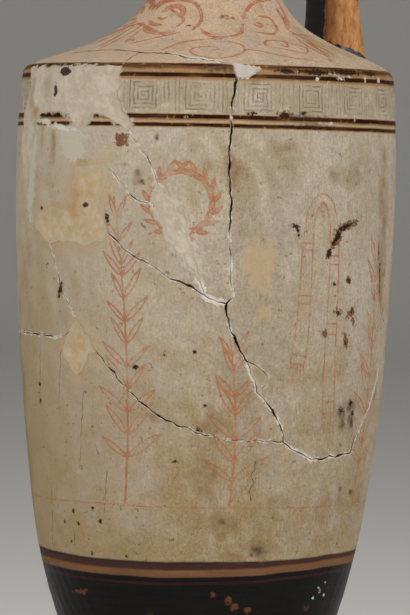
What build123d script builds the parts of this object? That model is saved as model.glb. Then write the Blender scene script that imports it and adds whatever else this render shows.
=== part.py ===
"""White-ground lekythos: a broken and mended oil vessel, thrown in sections and luted together.

Millimetres, +Z up, origin at the centre of the standing ring. The handle points to +Y and the
picture side to -Y. Azimuths are degrees from the picture side, turning towards +X.
"""
import os
from math import cos, radians, sin

from build123d import *

# Heights of the thrown sections
FOOT_HEIGHT = 21.0
BODY_HEIGHT = 226.0
SHOULDER_RISE = 30.0
NECK_HEIGHT = 42.0
MOUTH_HEIGHT = 60.0

# Radii of the outside, from the foot up
FOOT_RADIUS = 39.0
STANDING_RING_INNER_RADIUS = 27.0
STEM_RADIUS = 18.0
TAPER_RADIUS = 53.0
ARRIS_RADIUS = 61.2
NECK_JOINT_RADIUS = 20.5
NECK_TOP_RADIUS = 16.5
MOUTH_SEAT_RADIUS = 18.5
LIP_RADIUS = 34.0

# Pull of the outline's Bezier handles: how far the curve swells between those radii
STEM_FLARE = 18.0
STEM_FLARE_RISE = 10.0
TAPER_DROP = 155.0
TAPER_LEAN = 0.21
LOWER_SWELL = 24.0
UPPER_SWELL = 27.0
BELLY_PULL = 4.8
BELLY_PULL_DROP = 45.0
SHOULDER_SPREAD = 7.1
SHOULDER_LIFT = 5.8
NECK_SPREAD = 2.8
NECK_SPREAD_DROP = 20.5
NECK_WAIST_PULL = 3.3
NECK_WAIST_DROP = 12.0

# Walls
WALL = 5.0
FLOOR_THICKNESS = 9.0
FLOOR_INSET = 6.0
ARRIS_FILLET = 2.4
NECK_WALL = 5.5
LIP_WIDTH = 6.0
LIP_FILLET = 1.0

# Luted joints between the thrown sections
LUTING_GAP = 0.2
SPIGOT_LENGTH = 5.0
SPIGOT_WALL = 3.0

# Foot mouldings
FOOT_EDGE_HEIGHT = 13.0
FOOT_EDGE_BULGE = 1.6
FOOT_GROOVE = 1.5
FOOT_SLOPE_RISE = 3.5
FOOT_FILLET_RING = 1.4
FOOT_RECESS_DEPTH = 8.0

# Mouth mouldings
MOUTH_RING = 2.0
MOUTH_RING_HEIGHT = 4.5
MOUTH_THROAT_RISE = 9.0
MOUTH_BELLY = 8.5
MOUTH_BELLY_RISE = 8.0
MOUTH_FLARE = 6.5
MOUTH_FLARE_DROP = 22.0

# Strap handle
HANDLE_WIDTH = 18.5
HANDLE_THICKNESS = 11.5
HANDLE_EDGE_RADIUS = 3.4
HANDLE_ROOT_INSET = 9.2
HANDLE_ROOT_RADIUS = ARRIS_RADIUS - HANDLE_ROOT_INSET
HANDLE_ROOT_SPREAD = 6.5
HANDLE_ROOT_THICKENING = 4.5
HANDLE_UPRIGHT = 48.0
HANDLE_ELBOW_INSET = 6.5
HANDLE_ELBOW_RISE = 68.0
HANDLE_NECK_RISE = 60.0
HANDLE_NECK_SPREAD = 3.0

# Breaks
HAIRLINE = 0.25
OPEN_CRACK = 0.6
CUT_MARGIN = 4.0
CRACK_OVERRUN = 0.6

# Sections of the loft that makes the handle, as shares of its run
HANDLE_STATIONS = (0.0, 0.08, 0.2, 0.36, 0.52, 0.68, 0.84, 1.0)

# The breaks as (azimuth, level): a level is the share of the body's height up to 1 at the arris,
# and from 1 to 2 the share of the shoulder's rise
BREAKS = {
    "vertical": (
        OPEN_CRACK,
        [(62.6, 0.986), (61.4, 0.96), (61.0, 0.915), (60.6, 0.856), (61.6, 0.814),
         (61.2, 0.78), (61.5, 0.744), (62.5, 0.677), (60.8, 0.669)],
    ),
    "vertical_lower": (
        OPEN_CRACK,
        [(60.8, 0.669), (60.9, 0.655), (62.8, 0.628), (65.4, 0.604), (67.7, 0.588)],
    ),
    "lower_fill_right": (
        HAIRLINE,
        [(67.7, 0.588), (71.2, 0.581), (74.9, 0.567), (72.9, 0.551), (74.4, 0.531)],
    ),
    "lower_fill_left": (
        HAIRLINE,
        [(67.7, 0.588), (69.5, 0.569), (71.6, 0.545), (74.4, 0.531)],
    ),
    "vertical_foot": (
        OPEN_CRACK,
        [(74.4, 0.531), (78.0, 0.511), (80.9, 0.486), (81.1, 0.474)],
    ),
    "low_arc": (
        HAIRLINE,
        [(81.1, 0.474), (72.8, 0.476), (61.8, 0.477), (55.5, 0.483), (44.1, 0.501),
         (39.4, 0.513), (30.6, 0.544), (24.5, 0.575), (20.3, 0.595)],
    ),
    "left_slant": (
        HAIRLINE,
        [(20.3, 0.595), (15.5, 0.627), (12.4, 0.642), (8.7, 0.666), (5.7, 0.685),
         (4.4, 0.706), (1.1, 0.747)],
    ),
    "girdle_left": (
        HAIRLINE,
        [(12.4, 0.642), (9.7, 0.623), (6.0, 0.615), (1.6, 0.613), (-4.0, 0.616),
         (-16.4, 0.615), (-28.4, 0.617)],
    ),
    "girdle_back": (
        HAIRLINE,
        [(-28.4, 0.617), (-45.0, 0.61), (-62.0, 0.622), (-80.0, 0.63), (-98.0, 0.618),
         (-116.0, 0.6), (-134.0, 0.606), (-152.0, 0.597), (-170.0, 0.58), (-188.0, 0.588),
         (-206.0, 0.592), (-220.0, 0.585), (-232.4, 0.575)],
    ),
    "girdle_right": (
        HAIRLINE,
        [(81.1, 0.474), (84.2, 0.464), (89.0, 0.456), (92.4, 0.448), (103.8, 0.452),
         (111.7, 0.455), (114.2, 0.482), (119.4, 0.508), (123.9, 0.537), (127.6, 0.575)],
    ),
    "small_fill": (
        HAIRLINE,
        [(9.7, 0.623), (6.4, 0.603), (7.9, 0.579), (12.2, 0.561), (15.1, 0.57),
         (17.2, 0.591), (20.3, 0.595)],
    ),
    "long_slant": (
        HAIRLINE,
        [(60.8, 0.669), (56.0, 0.675), (50.0, 0.693), (44.1, 0.703), (38.0, 0.722),
         (31.8, 0.735), (24.5, 0.765)],
    ),
    "short_slant": (
        HAIRLINE,
        [(23.1, 0.862), (28.0, 0.839), (30.9, 0.822), (34.7, 0.81), (39.3, 0.802)],
    ),
    "upper_slant": (
        HAIRLINE,
        [(30.4, 0.908), (34.4, 0.884), (37.8, 0.864), (40.1, 0.834)],
    ),
    "slanting_fill_left": (
        HAIRLINE,
        [(40.1, 0.834), (38.8, 0.819), (39.3, 0.802), (41.2, 0.783), (45.4, 0.748),
         (49.3, 0.725), (52.9, 0.7)],
    ),
    "slanting_fill_right": (
        HAIRLINE,
        [(40.1, 0.834), (45.3, 0.799), (48.9, 0.764), (51.3, 0.735), (52.9, 0.7)],
    ),
    "slanting_fill_foot": (HAIRLINE, [(52.9, 0.7), (54.5, 0.68)]),
    "ochre_fill_right": (
        HAIRLINE,
        [(23.1, 0.862), (24.3, 0.841), (21.6, 0.817), (20.6, 0.803), (24.5, 0.765)],
    ),
    "ochre_fill_left": (
        HAIRLINE,
        [(23.1, 0.862), (17.8, 0.859), (12.1, 0.856), (11.0, 0.823), (9.5, 0.798),
         (2.1, 0.798), (-5.7, 0.789), (-6.9, 0.773), (-3.3, 0.757), (1.1, 0.747)],
    ),
    "ochre_fill_foot": (
        HAIRLINE,
        [(1.1, 0.747), (5.0, 0.748), (10.3, 0.752), (16.3, 0.745), (22.8, 0.754), (24.5, 0.765)],
    ),
    "upper_fill_right": (
        HAIRLINE,
        [(27.3, 1.0), (27.1, 0.974), (26.7, 0.955), (28.9, 0.937), (31.6, 0.918), (30.4, 0.908)],
    ),
    "upper_fill_foot": (
        HAIRLINE,
        [(30.4, 0.908), (26.4, 0.92), (22.2, 0.931), (17.9, 0.931), (15.5, 0.908),
         (12.4, 0.907), (9.2, 0.932), (0.7, 0.935), (-7.4, 0.929), (-9.8, 0.879),
         (-13.9, 0.826)],
    ),
    "upper_fill_left": (
        HAIRLINE,
        [(-13.9, 0.826), (-20.6, 0.879), (-18.4, 0.93), (-14.2, 0.966), (-16.4, 1.0)],
    ),
    "shoulder_crack": (
        HAIRLINE,
        [(27.3, 1.0), (26.5, 1.15), (36.4, 1.145), (48.0, 1.085), (56.0, 1.06)],
    ),
    "wedge_fill_top": (HAIRLINE, [(56.0, 1.06), (63.1, 1.03), (70.1, 1.0)]),
    "wedge_fill_left": (HAIRLINE, [(56.0, 1.06), (61.6, 1.012), (62.6, 0.986)]),
    "wedge_fill_right": (HAIRLINE, [(62.6, 0.986), (65.5, 0.985), (70.1, 1.0)]),
}
# The shoulder also came away along the arris, from the wedge fill round the back to the upper fill
ARRIS_BREAK_START = 70.1
ARRIS_BREAK_END = 27.3

# One point inside each fragment and fill, which tells the broken pieces apart
FRAGMENTS = {
    "lower_body": (40.0, 0.3),
    "back_sherd": (150.0, 0.8),
    "upper_centre_sherd": (50.0, 0.9),
    "narrow_sherd": (30.0, 0.785),
    "centre_sherd": (40.0, 0.62),
    "shoulder": (180.0, 1.5),
    "upper_plaster_fill": (5.0, 0.97),
    "ochre_fill": (16.0, 0.79),
    "slanting_plaster_fill": (44.0, 0.785),
    "small_ochre_fill": (11.0, 0.59),
    "lower_plaster_fill": (71.0, 0.57),
    "wedge_plaster_fill": (63.5, 0.998),
}

# Levels that follow from the heights
ARRIS_Z = FOOT_HEIGHT + BODY_HEIGHT
NECK_JOINT_Z = ARRIS_Z + SHOULDER_RISE
NECK_TOP_Z = NECK_JOINT_Z + NECK_HEIGHT
LIP_Z = NECK_TOP_Z + MOUTH_HEIGHT
NECK_BORE_BASE = NECK_JOINT_RADIUS - WALL - LUTING_GAP - SPIGOT_WALL
NECK_BORE_TOP = NECK_TOP_RADIUS - NECK_WALL
CUT_DEPTH = 2 * WALL + CUT_MARGIN


def bezier(points):
    """The cubic Bezier through (radius, height) control points, in the XZ half-plane."""
    return Bezier(*[(r, 0, z) for r, z in points])


def line(start, end):
    """A straight run between two (radius, height) points, in the XZ half-plane."""
    return Line((start[0], 0, start[1]), (end[0], 0, end[1]))


def outside_points(grow=0.0):
    """Control points of the outside: lower body, upper body, shoulder and neck, grown outwards."""
    taper_z = ARRIS_Z - TAPER_DROP
    lower = [
        (STEM_RADIUS + grow, FOOT_HEIGHT),
        (STEM_RADIUS + STEM_FLARE + grow, FOOT_HEIGHT + STEM_FLARE_RISE),
        (TAPER_RADIUS - TAPER_LEAN * LOWER_SWELL + grow, taper_z - LOWER_SWELL),
        (TAPER_RADIUS + grow, taper_z),
    ]
    upper = [
        (TAPER_RADIUS + grow, taper_z),
        (TAPER_RADIUS + TAPER_LEAN * UPPER_SWELL + grow, taper_z + UPPER_SWELL),
        (ARRIS_RADIUS + BELLY_PULL + grow, ARRIS_Z - BELLY_PULL_DROP),
        (ARRIS_RADIUS + grow, ARRIS_Z + grow),
    ]
    shoulder = [
        (ARRIS_RADIUS + grow, ARRIS_Z + grow),
        (ARRIS_RADIUS - SHOULDER_SPREAD + grow, ARRIS_Z + SHOULDER_LIFT + grow),
        (NECK_JOINT_RADIUS + NECK_SPREAD + grow, NECK_JOINT_Z - NECK_SPREAD_DROP + grow),
        (NECK_JOINT_RADIUS + grow, NECK_JOINT_Z),
    ]
    neck = [
        (NECK_JOINT_RADIUS + grow, NECK_JOINT_Z),
        (NECK_JOINT_RADIUS - NECK_SPREAD + grow, NECK_JOINT_Z + NECK_SPREAD_DROP),
        (NECK_TOP_RADIUS - NECK_WAIST_PULL + grow, NECK_TOP_Z - NECK_WAIST_DROP),
        (NECK_TOP_RADIUS + grow, NECK_TOP_Z),
    ]
    return lower, upper, shoulder, neck


def inside_points():
    """Control points of the hollow: lower body, upper body and shoulder, a wall in from the outside."""
    lower, upper, shoulder, _ = outside_points()
    floor_z = FOOT_HEIGHT + FLOOR_THICKNESS
    lower = [
        (STEM_RADIUS - FLOOR_INSET, floor_z),
        (lower[1][0] - FLOOR_INSET, lower[1][1] + FLOOR_INSET),
        (lower[2][0] - WALL, lower[2][1]),
        (lower[3][0] - WALL, lower[3][1]),
    ]
    upper = [(r - WALL, z) for r, z in upper[:-1]]
    upper.append((ARRIS_RADIUS - WALL, ARRIS_Z - WALL))
    shoulder = [(r - WALL, z - WALL) for r, z in shoulder[:-1]]
    shoulder.append((NECK_JOINT_RADIUS - WALL, NECK_JOINT_Z))
    return lower, upper, shoulder


def spin(edges, arc=360.0):
    """The solid of revolution of a closed outline in the XZ half-plane."""
    return revolve(make_face(edges), Axis.Z, arc)


def thrown_body():
    """Body and shoulder in one piece, as it left the wheel, with the arris rounded."""
    lower, upper, shoulder, _ = outside_points()
    lower_in, upper_in, shoulder_in = inside_points()
    edges = [
        line((0, FOOT_HEIGHT), lower[0]),
        bezier(lower),
        bezier(upper),
        bezier(shoulder),
        line(shoulder[-1], shoulder_in[-1]),
        bezier(shoulder_in),
        bezier(upper_in),
        bezier(lower_in),
        line(lower_in[0], (0, lower_in[0][1])),
        line((0, lower_in[0][1]), (0, FOOT_HEIGHT)),
    ]
    pot = spin(edges)
    arris = pot.edges().filter_by(GeomType.CIRCLE).sort_by(lambda e: abs(e.radius - ARRIS_RADIUS))[0]
    return fillet(arris, ARRIS_FILLET)


def cubic(points, share):
    """The point at a share of the run of a cubic Bezier."""
    back = 1 - share
    weights = (back**3, 3 * back**2 * share, 3 * back * share**2, share**3)
    return tuple(sum(w * p[axis] for w, p in zip(weights, points)) for axis in (0, 1))


def station(level):
    """The (radius, height) point of the wall at a level of the break map, and the way out through it."""
    height = FOOT_HEIGHT + BODY_HEIGHT * level
    if level > 1:
        height = ARRIS_Z + SHOULDER_RISE * (level - 1)
    outside, inside = outside_points(), inside_points()
    run = next(i for i, points in enumerate(outside) if height <= points[-1][1])
    low, high = 0.0, 1.0
    for _ in range(40):
        middle = (low + high) / 2
        if cubic(outside[run], middle)[1] < height:
            low = middle
        else:
            high = middle
    point, within = cubic(outside[run], low), cubic(inside[run], low)
    way_out = Vector(point[0] - within[0], point[1] - within[1]).normalized()
    return point, (way_out.X, way_out.Y)


def on_wall(azimuth, pair):
    """Turns an (outwards, up) pair of the half-plane to its azimuth."""
    turn = radians(azimuth)
    return Vector(pair[0] * sin(turn), -pair[0] * cos(turn), pair[1])


def crack_cutter(width, points):
    """A thin blade of the given width that follows a break through the wall.

    Its cross-section is a rectangle across the wall at each point of the break, and ruled faces
    join them. Both ends overrun, so that the blade reaches through the break that it meets.
    """
    places, normals = [], []
    for azimuth, level in points:
        point, normal = station(level)
        places.append(on_wall(azimuth, point))
        normals.append(on_wall(azimuth, normal))
    places[0] = places[0] + (places[0] - places[1]).normalized() * CRACK_OVERRUN
    places[-1] = places[-1] + (places[-1] - places[-2]).normalized() * CRACK_OVERRUN
    sections = []
    for i, (place, normal) in enumerate(zip(places, normals)):
        before = (place - places[i - 1]).normalized() if i else (places[1] - place).normalized()
        after = (places[i + 1] - place).normalized() if i + 1 < len(places) else before
        along = (before + after).normalized()
        half_width = width / 2 / max(along.dot(before), 0.5)
        side = normal.cross(along).normalized() * half_width
        outer = place + normal * CUT_MARGIN
        inner = place - normal * CUT_DEPTH
        corners = [outer - side, outer + side, inner + side, inner - side]
        sections.append([Edge.make_line(c, d) for c, d in zip(corners, corners[1:] + corners[:1])])
    faces = [Face(Wire(sections[0])), Face(Wire(sections[-1]))]
    for near, far in zip(sections, sections[1:]):
        faces += [Face.make_surface_from_curves(c, d) for c, d in zip(near, far)]
    return Solid(Shell(faces))


def arris_cutter():
    """A thin cone that parts the shoulder from the body through the arris, open at the front."""
    (radius, height), way_out = station(1.0)
    side = (-way_out[1] * HAIRLINE / 2, way_out[0] * HAIRLINE / 2)
    corners = []
    for reach, edge in ((CUT_MARGIN, 1), (CUT_MARGIN, -1), (-CUT_DEPTH, -1), (-CUT_DEPTH, 1)):
        r = radius + way_out[0] * reach + side[0] * edge
        corners.append((r, height + way_out[1] * reach + side[1] * edge))
    blade = make_face([line(a, b) for a, b in zip(corners, corners[1:] + corners[:1])])
    turn = 360 - (ARRIS_BREAK_START - ARRIS_BREAK_END)
    return Rot(0, 0, ARRIS_BREAK_START - 90) * revolve(blade, Axis.Z, turn)


def fragments():
    """The thrown body broken along every crack, as one solid for each named fragment or fill."""
    blades = [crack_cutter(width, points) for width, points in BREAKS.values()]
    broken = thrown_body().cut(*blades, arris_cutter())
    pieces = broken.solids()
    named = {}
    for name, (azimuth, level) in FRAGMENTS.items():
        point, normal = station(level)
        inside = on_wall(azimuth, point) - on_wall(azimuth, normal) * (WALL / 2)
        named[name] = next(piece for piece in pieces if piece.is_inside(inside))
    return named


def foot():
    """Turned disc foot: hollowed under, with a bulged edge, a groove and a fillet ring at the stem."""
    edge_top = FOOT_RADIUS - FOOT_GROOVE
    slope_top = STEM_RADIUS + FOOT_FILLET_RING
    groove_z = FOOT_EDGE_HEIGHT + FOOT_GROOVE
    slope_z = groove_z + FOOT_SLOPE_RISE
    edges = [
        line((0, FOOT_RECESS_DEPTH), (0, FOOT_HEIGHT)),
        line((0, FOOT_HEIGHT), (STEM_RADIUS, FOOT_HEIGHT)),
        ThreePointArc(
            (STEM_RADIUS, 0, FOOT_HEIGHT),
            (slope_top, 0, (FOOT_HEIGHT + slope_z) / 2),
            (STEM_RADIUS, 0, slope_z),
        ),
        bezier([
            (STEM_RADIUS, slope_z),
            (slope_top, slope_z),
            (edge_top - FOOT_GROOVE, slope_z),
            (edge_top - FOOT_GROOVE, groove_z),
        ]),
        line((edge_top - FOOT_GROOVE, groove_z), (edge_top - FOOT_GROOVE, FOOT_EDGE_HEIGHT)),
        line((edge_top - FOOT_GROOVE, FOOT_EDGE_HEIGHT), (edge_top, FOOT_EDGE_HEIGHT)),
        ThreePointArc(
            (edge_top, 0, FOOT_EDGE_HEIGHT),
            (FOOT_RADIUS, 0, FOOT_EDGE_HEIGHT / 2),
            (FOOT_RADIUS - FOOT_EDGE_BULGE, 0, 0),
        ),
        line((FOOT_RADIUS - FOOT_EDGE_BULGE, 0), (STANDING_RING_INNER_RADIUS, 0)),
        bezier([
            (STANDING_RING_INNER_RADIUS, 0),
            (STANDING_RING_INNER_RADIUS - FOOT_RECESS_DEPTH, FOOT_RECESS_DEPTH),
            (FOOT_RECESS_DEPTH, FOOT_RECESS_DEPTH),
            (0, FOOT_RECESS_DEPTH),
        ]),
    ]
    return spin(edges)


def neck():
    """Slender neck with a spigot down into the shoulder and another up into the mouth."""
    _, _, _, outer = outside_points()
    spigot_low = NECK_BORE_BASE + SPIGOT_WALL
    spigot_high = NECK_BORE_TOP + SPIGOT_WALL
    low_z = NECK_JOINT_Z - SPIGOT_LENGTH
    high_z = NECK_TOP_Z + SPIGOT_LENGTH
    edges = [
        bezier(outer),
        line(outer[-1], (spigot_high, NECK_TOP_Z)),
        line((spigot_high, NECK_TOP_Z), (spigot_high, high_z)),
        line((spigot_high, high_z), (NECK_BORE_TOP, high_z)),
        bezier([
            (NECK_BORE_TOP, high_z),
            (NECK_BORE_TOP - NECK_WAIST_PULL / 2, NECK_TOP_Z - NECK_WAIST_DROP),
            (NECK_BORE_BASE - NECK_WAIST_PULL / 2, NECK_JOINT_Z + NECK_SPREAD_DROP),
            (NECK_BORE_BASE, low_z),
        ]),
        line((NECK_BORE_BASE, low_z), (spigot_low, low_z)),
        line((spigot_low, low_z), (spigot_low, NECK_JOINT_Z)),
        line((spigot_low, NECK_JOINT_Z), outer[0]),
    ]
    return spin(edges)


def mouth():
    """Calyx mouth: a ring moulding at the seat, a flaring bell and a flat lip round a funnel."""
    socket = NECK_BORE_TOP + SPIGOT_WALL + LUTING_GAP
    socket_z = NECK_TOP_Z + SPIGOT_LENGTH + LUTING_GAP
    ring_z = NECK_TOP_Z + MOUTH_RING_HEIGHT
    throat_z = NECK_TOP_Z + MOUTH_THROAT_RISE
    lip_inner = LIP_RADIUS - LIP_WIDTH
    wall = LIP_WIDTH
    edges = [
        line((socket, NECK_TOP_Z), (MOUTH_SEAT_RADIUS, NECK_TOP_Z)),
        ThreePointArc(
            (MOUTH_SEAT_RADIUS, 0, NECK_TOP_Z),
            (MOUTH_SEAT_RADIUS + MOUTH_RING, 0, (NECK_TOP_Z + ring_z) / 2),
            (MOUTH_SEAT_RADIUS, 0, ring_z),
        ),
        bezier([
            (MOUTH_SEAT_RADIUS, ring_z),
            (MOUTH_SEAT_RADIUS + MOUTH_BELLY, ring_z + MOUTH_BELLY_RISE),
            (LIP_RADIUS - MOUTH_FLARE, LIP_Z - MOUTH_FLARE_DROP),
            (LIP_RADIUS, LIP_Z),
        ]),
        line((LIP_RADIUS, LIP_Z), (lip_inner, LIP_Z)),
        bezier([
            (lip_inner, LIP_Z),
            (lip_inner - MOUTH_FLARE, LIP_Z - MOUTH_FLARE_DROP),
            (MOUTH_SEAT_RADIUS + MOUTH_BELLY - wall, throat_z + MOUTH_BELLY_RISE),
            (NECK_BORE_TOP, throat_z),
        ]),
        line((NECK_BORE_TOP, throat_z), (NECK_BORE_TOP, socket_z)),
        line((NECK_BORE_TOP, socket_z), (socket, socket_z)),
        line((socket, socket_z), (socket, NECK_TOP_Z)),
    ]
    bell = spin(edges)
    lip = bell.edges().filter_by(GeomType.CIRCLE).group_by(Axis.Z)[-1]
    return fillet(lip, LIP_FILLET)


def handle_path():
    """The strap's centre line: upright from the shoulder, then over in one bow to the neck."""
    return Bezier(
        (0, HANDLE_ROOT_RADIUS, ARRIS_Z),
        (0, HANDLE_ROOT_RADIUS, ARRIS_Z + HANDLE_UPRIGHT),
        (0, HANDLE_ROOT_RADIUS - HANDLE_ELBOW_INSET, ARRIS_Z + HANDLE_ELBOW_RISE),
        (0, NECK_TOP_RADIUS - NECK_WALL / 2, ARRIS_Z + HANDLE_NECK_RISE),
    )


def luted_faces():
    """Everything inside the outer faces of shoulder and neck, with the slip's thickness added."""
    _, _, shoulder, neck_side = outside_points(LUTING_GAP)
    edges = [
        line((0, ARRIS_Z - WALL), (ARRIS_RADIUS + LUTING_GAP, ARRIS_Z - WALL)),
        line((ARRIS_RADIUS + LUTING_GAP, ARRIS_Z - WALL), shoulder[0]),
        bezier(shoulder),
        bezier(neck_side),
        line(neck_side[-1], (0, NECK_TOP_Z)),
        line((0, NECK_TOP_Z), (0, ARRIS_Z - WALL)),
    ]
    return spin(edges)


def handle():
    """Strap handle, lofted through rounded sections that spread at both roots, cut to its seats."""
    path = handle_path()
    sections = []
    for share in HANDLE_STATIONS:
        root = max(0.0, 1 - share / HANDLE_STATIONS[2]) ** 1.5
        tip = max(0.0, 1 - (1 - share) / HANDLE_STATIONS[2])
        width = HANDLE_WIDTH + HANDLE_ROOT_SPREAD * root + HANDLE_NECK_SPREAD * tip
        thickness = HANDLE_THICKNESS + HANDLE_ROOT_THICKENING * root
        plane = Plane(origin=path @ share, x_dir=(1, 0, 0), z_dir=path % share)
        sections.append(plane * RectangleRounded(width, thickness, HANDLE_EDGE_RADIUS))
    strap = loft(sections) - luted_faces()
    return strap.solids().sort_by(SortBy.VOLUME)[-1]


def main():
    """Builds every piece and writes one STEP file for each."""
    os.makedirs("parts", exist_ok=True)
    pieces = fragments()
    pieces["foot"] = foot()
    pieces["neck"] = neck()
    pieces["mouth"] = mouth()
    pieces["handle"] = handle()
    for name, piece in pieces.items():
        export_step(piece, os.path.join("parts", f"{name}.step"))
        print(f"{name}: {piece.volume / 1000:.1f} cm3")


main()
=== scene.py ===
"""White-ground lekythos, broken and mended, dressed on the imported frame.

Lengths are millimetres until a mesh is written, which is in metres. A place on the wall is given as
(azimuth, along): degrees from the picture side (-Y) towards +X, and the arc length of the outer face,
zero at the shoulder's edge (the arris), negative down the body and positive up the shoulder.
"""
from __future__ import annotations

import logging
import math
from collections.abc import Iterator
from dataclasses import dataclass, field
from enum import Enum
from functools import cached_property

import bpy
import numpy as np
from mathutils import Matrix
from mathutils.geometry import delaunay_2d_cdt

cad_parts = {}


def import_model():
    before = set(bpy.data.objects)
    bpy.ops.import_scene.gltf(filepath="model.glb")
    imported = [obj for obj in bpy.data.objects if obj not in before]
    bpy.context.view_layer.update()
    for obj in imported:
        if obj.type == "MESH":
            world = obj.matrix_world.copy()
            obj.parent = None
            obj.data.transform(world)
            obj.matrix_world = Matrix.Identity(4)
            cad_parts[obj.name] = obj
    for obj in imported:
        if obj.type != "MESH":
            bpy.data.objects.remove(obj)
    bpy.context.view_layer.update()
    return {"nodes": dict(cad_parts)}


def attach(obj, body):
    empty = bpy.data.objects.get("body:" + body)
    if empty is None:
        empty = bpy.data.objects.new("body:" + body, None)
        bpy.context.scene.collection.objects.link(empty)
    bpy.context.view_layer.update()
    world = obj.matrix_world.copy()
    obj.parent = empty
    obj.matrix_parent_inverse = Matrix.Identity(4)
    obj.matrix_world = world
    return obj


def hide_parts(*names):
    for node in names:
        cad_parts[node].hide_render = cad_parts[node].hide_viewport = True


LOG = logging.getLogger("lekythos")
Array = np.ndarray
Socket = bpy.types.NodeSocket
Material = bpy.types.Material
METRES = 0.001
TINY = 1e-9
# The way to the right across the vessel, seen from the side that carries the picture.
ACROSS_VIEW = (0.588, 0.809, 0.0)
# How far from a break its values are kept, and the gap whose edges are rubbed to the full depth.
REACH = 6.0
OPEN_GAP = 0.25


def linear(code: str) -> tuple[float, float, float, float]:
    """Turns an sRGB hex colour into linear RGBA.

    Args:
        code: a hash and six hex digits.

    Returns:
        The linear colour with an alpha of one.
    """
    parts = [int(code[i : i + 2], 16) / 255 for i in (1, 3, 5)]
    red, green, blue = (p / 12.92 if p <= 0.04045 else ((p + 0.055) / 1.055) ** 2.4 for p in parts)
    return red, green, blue, 1.0


def waves(points: Array, length: float, seed: int, count: int = 9) -> Array:
    """Smooth seeded unevenness: the mean of sines that run in random directions.

    Args:
        points: positions, one row each.
        length: the typical wavelength.
        seed: picks the directions and phases.
        count: how many sines.

    Returns:
        One value for each point, about -1 to 1.
    """
    pick = np.random.default_rng(seed)
    ways = pick.normal(size=(points.shape[1], count))
    ways /= np.linalg.norm(ways, axis=0)
    ways *= 2 * math.pi / length * pick.uniform(0.6, 1.6, count)
    return np.sin(points @ ways + pick.uniform(0, 2 * math.pi, count)).sum(1) / math.sqrt(count * 0.8)


def ease(low: float, high: float, value: Array) -> Array:
    """Smooth step from 0 at low to 1 at high."""
    share = np.clip((value - low) / (high - low), 0, 1)
    return share * share * (3 - 2 * share)


def unit(rows: Array) -> Array:
    """Rows of vectors brought to a length of one."""
    return rows / np.maximum(np.linalg.norm(rows, axis=1), TINY)[:, None]


def left_of(ahead: Array) -> Array:
    """Unit vectors to the left of flat directions."""
    return unit(ahead)[:, ::-1] * [-1, 1]


def run_along(line: Array) -> Array:
    """The length of a line up to each of its points."""
    return np.concatenate([[0], np.cumsum(np.hypot(*np.diff(line, axis=0).T))])


def even_steps(line: Array, step: float, extra: int = 1) -> tuple[Array, Array]:
    """Divides a line into even steps.

    Args:
        line: rows of two coordinates.
        step: about how long a step is.
        extra: points beyond the number of whole steps.

    Returns:
        The length up to each new point, and the new points.
    """
    run = run_along(line)
    even = np.linspace(0, run[-1], max(3, int(run[-1] / step) + extra))
    return even, np.stack([np.interp(even, run, line[:, k]) for k in (0, 1)], -1)


def cubic(knots: tuple, share: Array) -> Array:
    """Points of a cubic Bezier.

    Args:
        knots: its four control points.
        share: a column of places along it, from 0 to 1.

    Returns:
        One row for each place.
    """
    weights = [(1 - share) ** 3, 3 * share * (1 - share) ** 2, 3 * share**2 * (1 - share), share**3]
    return np.hstack(weights) @ np.array(knots, float)


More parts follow.
